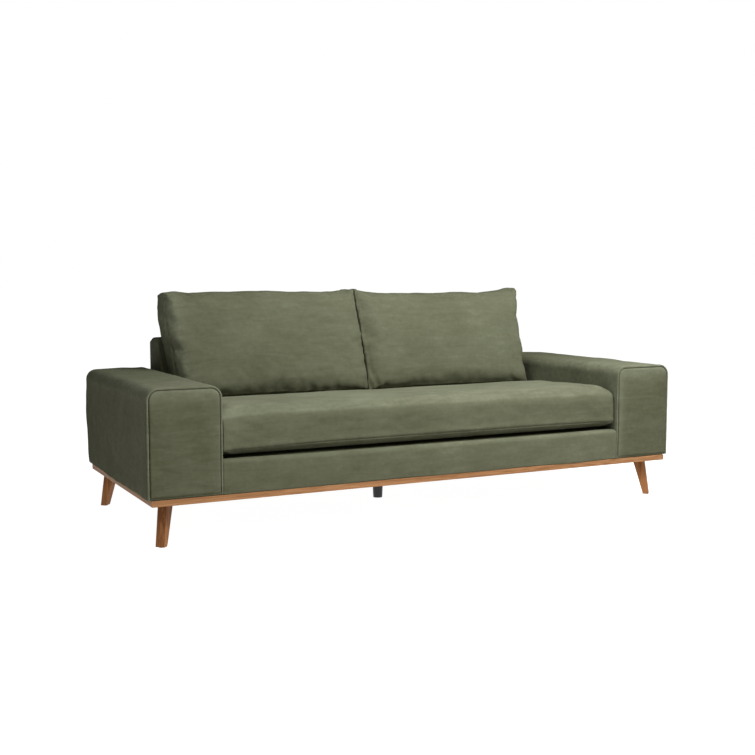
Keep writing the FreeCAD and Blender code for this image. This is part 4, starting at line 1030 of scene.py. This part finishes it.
def zip_strip(name, block, part, facing):
    """A strip over the part's place; each point takes its height over the cloth from the nearest points.

    The height is the mean of the six nearest points, weighted by one over distance squared.
    """
    low, high = span(part)
    axis = int(np.argmax(np.abs(facing)))
    sign = facing[axis]
    over = 3 - axis
    width = (high[over] - low[over]) + ZIP_MARGIN
    along = np.linspace(low[0], high[0], ZIP_ROWS)
    middle = (low[over] + high[over]) / 2
    u, v = np.meshgrid(along, middle + ZIP_PROFILE * width, indexing="ij")
    normals = normals_of(block.points, block.quads)
    near = (normals[:, axis] * sign > 0.6) & (np.abs(block.points[:, over] - middle) < ZIP_REACH)
    cloth = block.points[near]
    gap = (u.reshape(-1, 1) - cloth[:, 0]) ** 2 + (v.reshape(-1, 1) - cloth[:, over]) ** 2 + 1e-8
    order = np.argpartition(gap, 6, axis=1)[:, :6]
    weight = 1 / np.take_along_axis(gap, order, axis=1)
    level = (cloth[:, axis][order] * weight).sum(axis=1) / weight.sum(axis=1)
    count = u.size
    outer = np.zeros((count, 3))
    outer[:, 0], outer[:, over] = u.ravel(), v.ravel()
    outer[:, axis] = level + sign * np.tile(ZIP_PROUD, ZIP_ROWS)
    inner = outer.copy()
    inner[:, axis] = level - sign * ZIP_BACKING
    number = np.arange(2 * count).reshape(2, ZIP_ROWS, len(ZIP_PROFILE))
    a, b = number
    faces = [
        np.stack([g[:-1, :-1], g[1:, :-1], g[1:, 1:], g[:-1, 1:]], axis=-1).reshape(-1, 4)[:, ::step]
        for g, step in ((a, 1), (b, -1))
    ]
    edges = [(a[:, 0], b[:, 0]), (b[:, -1], a[:, -1]), (b[0], a[0]), (a[-1], b[-1])]
    faces += [np.stack([o[:-1], i[:-1], i[1:], o[1:]], axis=-1) for o, i in edges]
    quads = np.concatenate(faces)
    points = np.concatenate([outer, inner])
    uv = points[:, [0, over]][quads]
    strip = SimpleNamespace(points=points, quads=quads, uv=uv)
    piece = write_piece(name, strip)
    close_ends(piece, [])
    return piece


print("a zip has", ZIP_ROWS, "rows of", len(ZIP_PROFILE), "points")

# %% [markdown]
# Under the deck run zigzag spring wires, from the front rail to the rear one. The wires of the design are
# exact, and so have many small faces. Here each is an eight-sided section carried along straight
# bars and half circles, which looks the same at any distance from which it can be seen.

# %% Light spring wires

SPRING_TURNS, SPRINGS, SPRING_BAR = 16, 8, 30 * MM


def spring_wires():
    """Zigzag wires: straight bars across, joined by half circles, with one round section carried along."""
    low, high = span("seat_springs")
    radius = (high[2] - low[2]) / 2
    turns, bar = SPRING_TURNS, SPRING_BAR
    front, rear = low[1] + radius, high[1] - radius
    step = (rear - front) / turns
    first = low[0] + radius + step / 2 + bar / 2
    pitch = -2 * first / (SPRINGS - 1)
    turn = np.arange(turns + 1)
    way = np.where(turn % 2 == 0, 1, -1)[:, None]
    angle = np.linspace(-math.pi / 2, math.pi / 2, 7)[None, 1:-1]
    bars_x = way * np.array([[-bar / 2, bar / 2]])
    bars_y = front + turn[:, None] * step + np.zeros((1, 2))
    bend_x = way * (bar / 2 + step / 2 * np.cos(angle))
    bend_y = front + (turn[:, None] + 0.5) * step + step / 2 * np.sin(angle)
    x = np.concatenate([bars_x, bend_x], axis=1).ravel()[: -angle.size]
    y = np.concatenate([bars_y, bend_y], axis=1).ravel()[: -angle.size]
    heading = np.stack([np.gradient(x), np.gradient(y), np.zeros_like(x)], axis=1)
    heading /= np.linalg.norm(heading, axis=1, keepdims=True)
    sideways = np.stack([heading[:, 1], -heading[:, 0], np.zeros_like(x)], axis=1)
    upward = np.tile(UPWARD, (len(x), 1))
    points, quads, uvs, ends, offset = [], [], [], [], 0
    for number in range(SPRINGS):
        centres = np.stack([x + first + number * pitch, y, np.full_like(x, low[2] + radius)], axis=1)
        wire = tube(centres, sideways, upward, np.full(len(x), radius), around=8)
        points.append(wire.points)
        quads.append(wire.quads + offset)
        uvs.append(wire.uv)
        ends += [wire.rings[0][::-1] + offset, wire.rings[-1] + offset]
        offset += len(wire.points)
    points, quads, uv = (np.concatenate(parts) for parts in (points, quads, uvs))
    piece = write_piece("seat_spring_wires", SimpleNamespace(points=points, quads=quads, uv=uv))
    close_ends(piece, ends)
    return piece


spring_piece = spring_wires()
print("spring wires:", len(spring_piece.data.polygons), "faces")

# %% [markdown]
# Oak's grain is a stack of stretched rings. The noise is squeezed across the board and drawn out along it,
# so each board needs its own direction: the long rails run along X, the short ones along Y and the legs
# along their height. Fine dark pores, stretched even further, are both a colour and a dent. The legs' upper
# part is painted darker, as painted shade from the plinth above them.

# %% Wood

PORE_TINT = (0.35, 0.25, 0.16, 1)


def timber(name, along, scale, tones, pore_strength, painted_shade_top=None, **on_shader):
    """Rings stretched along one axis, darkened by pores; the tones run from dark to light.

    Two heights may be given, between which the colour is painted darker going up, as painted shade.
    """
    material, tree, shader = new_material(name, **on_shader)
    squeeze = [scale, scale, scale]
    squeeze[along] = scale * 0.06
    fine = [scale * 14, scale * 14, scale * 14]
    fine[along] = scale * 0.35
    rings = noise(tree, stretched(tree, squeeze), 1.0, 4, 0.55, 1.6)
    bands = maths(tree, "FRACT", maths(tree, "MULTIPLY", rings, 5.0))
    bands = maths(tree, "PINGPONG", bands, 0.5)
    broad = noise(tree, stretched(tree, [s * 0.35 for s in squeeze]), 1.0, 2, 0.5)
    pores = noise(tree, stretched(tree, fine), 1.0, 2, 0.65)
    tone = maths(tree, "MULTIPLY_ADD", bands, 0.7, maths(tree, "MULTIPLY", broad, 0.65))
    # Painted shade: the legs' colour is painted darker towards their tops, where the plinth shades them.
    if painted_shade_top:
        level = add_node(tree, "ShaderNodeSeparateXYZ", Vector=object_place(tree)).outputs["Z"]
        painted_shadow = add_node(
            tree, "ShaderNodeMapRange", Value=level, From_Min=painted_shade_top[0], From_Max=painted_shade_top[1],
            To_Min=0.0, To_Max=0.30,
        )
        tone = maths(tree, "SUBTRACT", tone, painted_shadow.outputs["Result"])
    colour = blend_ramp(tree, tone, (0.15, tones[0]), (0.45, tones[1]), (0.85, tones[2]))
    dark = maths(tree, "MULTIPLY", maths(tree, "SUBTRACT", 0.62, pores), pore_strength)
    mixed = add_node(
        tree, "ShaderNodeMix", {"data_type": "RGBA", "blend_type": "MULTIPLY", "clamp_factor": True},
        Factor=dark, i6=colour, i7=PORE_TINT,
    )
    paint(tree, shader, mixed.outputs[2], relief(tree, maths(tree, "ADD", pores, bands), 0.25, 0.3 * MM))
    return material


def each_way(name, ways, *look, **on_shader):
    """The same timber once for each axis that its boards run along."""
    return [timber(f"{name}_{way}", axis, *look, **on_shader) for axis, way in enumerate(ways)]


OAK_TONES = ((0.19, 0.086, 0.032), (0.28, 0.136, 0.057), (0.37, 0.196, 0.090))
RAW_TONES = ((0.48, 0.31, 0.16), (0.62, 0.43, 0.24), (0.72, 0.54, 0.34))
PLY_TONES = ((0.42, 0.28, 0.15), (0.58, 0.41, 0.24), (0.68, 0.51, 0.32))
BOARD_TONES = ((0.13, 0.075, 0.04), (0.19, 0.115, 0.062), (0.25, 0.16, 0.09))
LEG_TONES = ((0.15, 0.058, 0.017), (0.26, 0.108, 0.036), (0.34, 0.155, 0.060))
LEG_TOP = span("leg_front_left")[1][2]
# Heights between which the legs' colour is painted darker towards the top, as painted shade under the
# plinth.
LEG_PAINTED_SHADE = (0.4 * LEG_TOP, 0.8 * LEG_TOP)
OILED = {"Roughness": 0.5, "Specular_IOR_Level": 0.12}
OAK = each_way("oiled_oak", "xy", 26, OAK_TONES, 1.6, **OILED)
OAK.append(timber("oiled_oak_z", 2, 26, LEG_TONES, 1.6, painted_shade_top=LEG_PAINTED_SHADE, **OILED))
RAW = each_way("frame_timber", "xyz", 20, RAW_TONES, 1.0, Roughness=0.7)
PLY = each_way("plywood", "xyz", 14, PLY_TONES, 0.8, Roughness=0.75)
HARDBOARD = timber("hardboard", 0, 60, BOARD_TONES, 0.5, Roughness=0.8)
print("timbers:", [material.name for material in (*OAK, *RAW, *PLY, HARDBOARD)])

# %% [markdown]
# The rest of the parts are mostly hidden, but they show when the cushions are lifted or the sofa is
# turned over. Each gets a finish of its own: moulded plastic with a faint orange peel, brushed
# steel, loose black cloth, pressed felt, woven webbing, foam with its open cells, and zip tape.

# %% Plastic, steel and cloths


def speckled(name, dark, light, scale, strength, depth, **on_shader):
    """Two tones of one colour mixed by fine noise, which also dents the surface."""
    material, tree, shader = new_material(name, **on_shader)
    where = object_place(tree)
    grain = noise(tree, where, scale, 3, 0.6)
    patches = noise(tree, where, scale * 0.03, 2, 0.5)
    tone = maths(tree, "MULTIPLY_ADD", grain, 0.6, maths(tree, "MULTIPLY", patches, 0.4))
    colour = blend_ramp(tree, tone, (0.3, dark), (0.7, light))
    paint(tree, shader, colour, relief(tree, grain, strength, depth))
    return material


def woven(name, dark, light, thread, **on_shader):
    """Threads that cross at right angles: the product of two sine waves across the part."""
    material, tree, shader = new_material(name, **on_shader)
    where = object_place(tree)
    parts = add_node(tree, "ShaderNodeSeparateXYZ", Vector=where)
    pace = 2 * math.pi / thread
    waves = [maths(tree, "SINE", maths(tree, "MULTIPLY", parts.outputs[axis], pace)) for axis in "XYZ"]
    weave = maths(tree, "ADD", maths(tree, "MULTIPLY", waves[0], waves[1]), waves[2])
    tone = maths(tree, "MULTIPLY_ADD", weave, 0.25, noise(tree, where, 140, 3, 0.6))
    colour = blend_ramp(tree, tone, (0.2, dark), (0.8, light))
    paint(tree, shader, colour, relief(tree, weave, 0.5, 0.4 * MM))
    return material


PLASTIC = speckled("black_plastic", (0.008,) * 3, (0.016,) * 3, 900, 0.15, 0.1 * MM, Roughness=0.45)
NYLON = speckled("nylon", (0.03,) * 3, (0.06,) * 3, 700, 0.2, 0.1 * MM, Roughness=0.6)
SPRING_TONES = ((0.13, 0.135, 0.14), (0.24, 0.245, 0.25))
BOLT_TONES = ((0.42, 0.42, 0.41), (0.62, 0.62, 0.60))
BRUSHED = (500, 0.2, 0.1 * MM)
SPRING = speckled("spring_steel", *SPRING_TONES, *BRUSHED, Roughness=0.38, Metallic=1.0)
BOLT = speckled("bolt_steel", *BOLT_TONES, *BRUSHED, Roughness=0.32, Metallic=1.0)
FELT = speckled("felt", (0.16, 0.145, 0.125), (0.30, 0.27, 0.24), 420, 0.8, 0.8 * MM, Roughness=0.95)
FOAM = speckled("foam", (0.60, 0.56, 0.44), (0.78, 0.74, 0.62), 380, 0.8, 0.6 * MM, Roughness=0.95)
DUST_CLOTH = woven("black_cloth", (0.010,) * 3, (0.022,) * 3, 1.6 * MM, Roughness=0.9)
WEBBING = woven("webbing", (0.012,) * 3, (0.040,) * 3, 2.4 * MM, Roughness=0.85)
ZIP_TAPE = woven("zip_tape", (0.030, 0.032, 0.020), (0.060, 0.062, 0.042), 1.2 * MM, Roughness=0.8)
print("materials so far:", len(bpy.data.materials))

# %% [markdown]
# The design names a slot for each of its parts, which says what the part is made of. The slot picks the
# finish, and for timber the part's longest side picks the one whose grain runs that way. The zips and
# the springs wait until here to be handed over, because their finishes come last.

# %% Finishes for the parts of the design

FINISHES = {
    "oiled_oak": OAK, "frame_timber": RAW, "plywood": PLY, "hardboard": HARDBOARD, "black_plastic": PLASTIC,
    "nylon": NYLON, "spring_steel": SPRING, "bolt_steel": BOLT, "felt": FELT, "foam": FOAM,
    "black_cloth": DUST_CLOTH, "webbing": WEBBING, "zip_tape": ZIP_TAPE, "sage_fabric": SAGE,
}
SLOTS = {row["node"]: row["material_slot"] for row in frame["record"]["subparts"]}
ZIPS = (
    ("bench_zip", bench, "seat_cushion", (0, 1, 0)),
    ("left_zip", back_blocks["left"], "back_cushion_left", (0, 0, -1)),
    ("right_zip", back_blocks["right"], "back_cushion_right", (0, 0, -1)),
)


def finish_for(part):
    """The material of a part of the design, from its slot and, for timber, the way it runs."""
    finish = FINISHES[SLOTS[part]]
    low, high = span(part)
    return finish[int(np.argmax(high - low))] if isinstance(finish, list) else finish


for name, block, body, facing in ZIPS:
    part = f"{body}_zip"
    dress(zip_strip(name, block, part, np.array(facing)), body, "zip_tape", ZIP_TAPE, part)
dress(spring_piece, "sofa_frame", "spring_steel", SPRING, "seat_springs")
for part, thing in nodes.items():
    thing.data.materials.clear()
    thing.data.materials.append(finish_for(part))
print("finished", len(nodes), "parts")

# %% [markdown]
# The sofa stands on a plain pale floor under soft studio light. One large lamp hangs above and to the
# right of its front, and a smaller one near it gives crisper shadows. A weak one at the front left lifts
# the front panels, and a narrow weak one reaches the inside of the right arm. The room is evenly white.
# The camera stands to the left of the front and a little above the arms, with a lens somewhat longer
# than normal.

# %% Floor, light and camera

FLOOR_REACH = 60.0
ROOM_LIGHT = 0.15
CAMERA_PLACE, CAMERA_LENS = (-2.1453, -4.1758, 0.9421), 54.49
CAMERA_DOWN, CAMERA_TURN = 5.26, -26.904
LAMPS = (
    ("key_lamp", (0.85, -1.7, 2.9), (0.3, -0.2, 0.4), (3.2, 1.8), 140, 180),
    ("small_lamp", (1.5, -2.3, 3.4), (0, -0.2, 0.4), (0.5, 0.5), 105, 180),
    ("front_lamp", (-2.2, -3.0, 2.0), (-0.4, 0, 0.5), (1.5, 1.0), 12, 180),
    ("fill_lamp", (-1.0, -0.5, 2.3), (0.95, -0.2, 0.45), (0.8, 0.8), 3.2, 70),
)


def pale_floor():
    """A wide floor that glows evenly, so that it stays white right up to the sofa's feet."""
    mesh = bpy.data.meshes.new("floor")
    corners = [(FLOOR_REACH * right, FLOOR_REACH * back, 0) for right, back in SQUARE]
    mesh.from_pydata(corners, [], [(0, 1, 2, 3)])
    floor = bpy.data.objects.new("floor", mesh)
    scene.collection.objects.link(floor)
    material, tree, shader = new_material(
        "pale_floor", Roughness=0.9, Specular_IOR_Level=0.0,
        Emission_Color=(1, 1, 1, 1), Emission_Strength=0.98,
    )
    tone = noise(tree, object_place(tree), 3, 2, 0.5)
    colour = blend_ramp(tree, tone, (0.3, (0.28,) * 3), (0.7, (0.30,) * 3))
    tree.links.new(colour, shader.inputs["Base Color"])
    mesh.materials.append(material)


def soft_lamp(name, place, target, size, power, spread):
    """A rectangle of light at a place, turned to its target; spread is its cone in degrees."""
    light = bpy.data.lights.new(name, "AREA")
    light.spread = math.radians(spread)
    light.shape = "RECTANGLE"
    light.size, light.size_y = size
    light.energy = power
    lamp = bpy.data.objects.new(name, light)
    lamp.location = place
    lamp.rotation_euler = (Vector(target) - Vector(place)).to_track_quat("-Z", "Y").to_euler()
    scene.collection.objects.link(lamp)


def white_room(light_strength):
    """White to the camera, and a softer grey as a light."""
    world = bpy.data.worlds.new("white_room")
    world.use_nodes = True
    tree = world.node_tree
    tree.nodes.clear()
    seen = add_node(tree, "ShaderNodeLightPath").outputs["Is Camera Ray"]
    lit = add_node(tree, "ShaderNodeBackground", Color=(1, 1, 1, 1), Strength=light_strength)
    shown = add_node(tree, "ShaderNodeBackground", Color=(1, 1, 1, 1), Strength=1.0)
    mixed = add_node(tree, "ShaderNodeMixShader", Fac=seen, i1=lit.outputs[0], i2=shown.outputs[0])
    add_node(tree, "ShaderNodeOutputWorld", Surface=mixed.outputs[0])
    scene.world = world


def studio_camera():
    """A level camera that looks along +Y, turned sideways and tipped down."""
    camera = bpy.data.cameras.new("camera")
    camera.lens = CAMERA_LENS
    camera.sensor_width = 36
    view = bpy.data.objects.new("camera", camera)
    view.location = CAMERA_PLACE
    view.rotation_euler = (math.radians(90 - CAMERA_DOWN), 0, math.radians(CAMERA_TURN))
    scene.collection.objects.link(view)
    scene.camera = view


pale_floor()
for lamp in LAMPS:
    soft_lamp(*lamp)
white_room(ROOM_LIGHT)
studio_camera()
scene.view_settings.view_transform = "Standard"
print("lamps:", [lamp[0] for lamp in LAMPS])
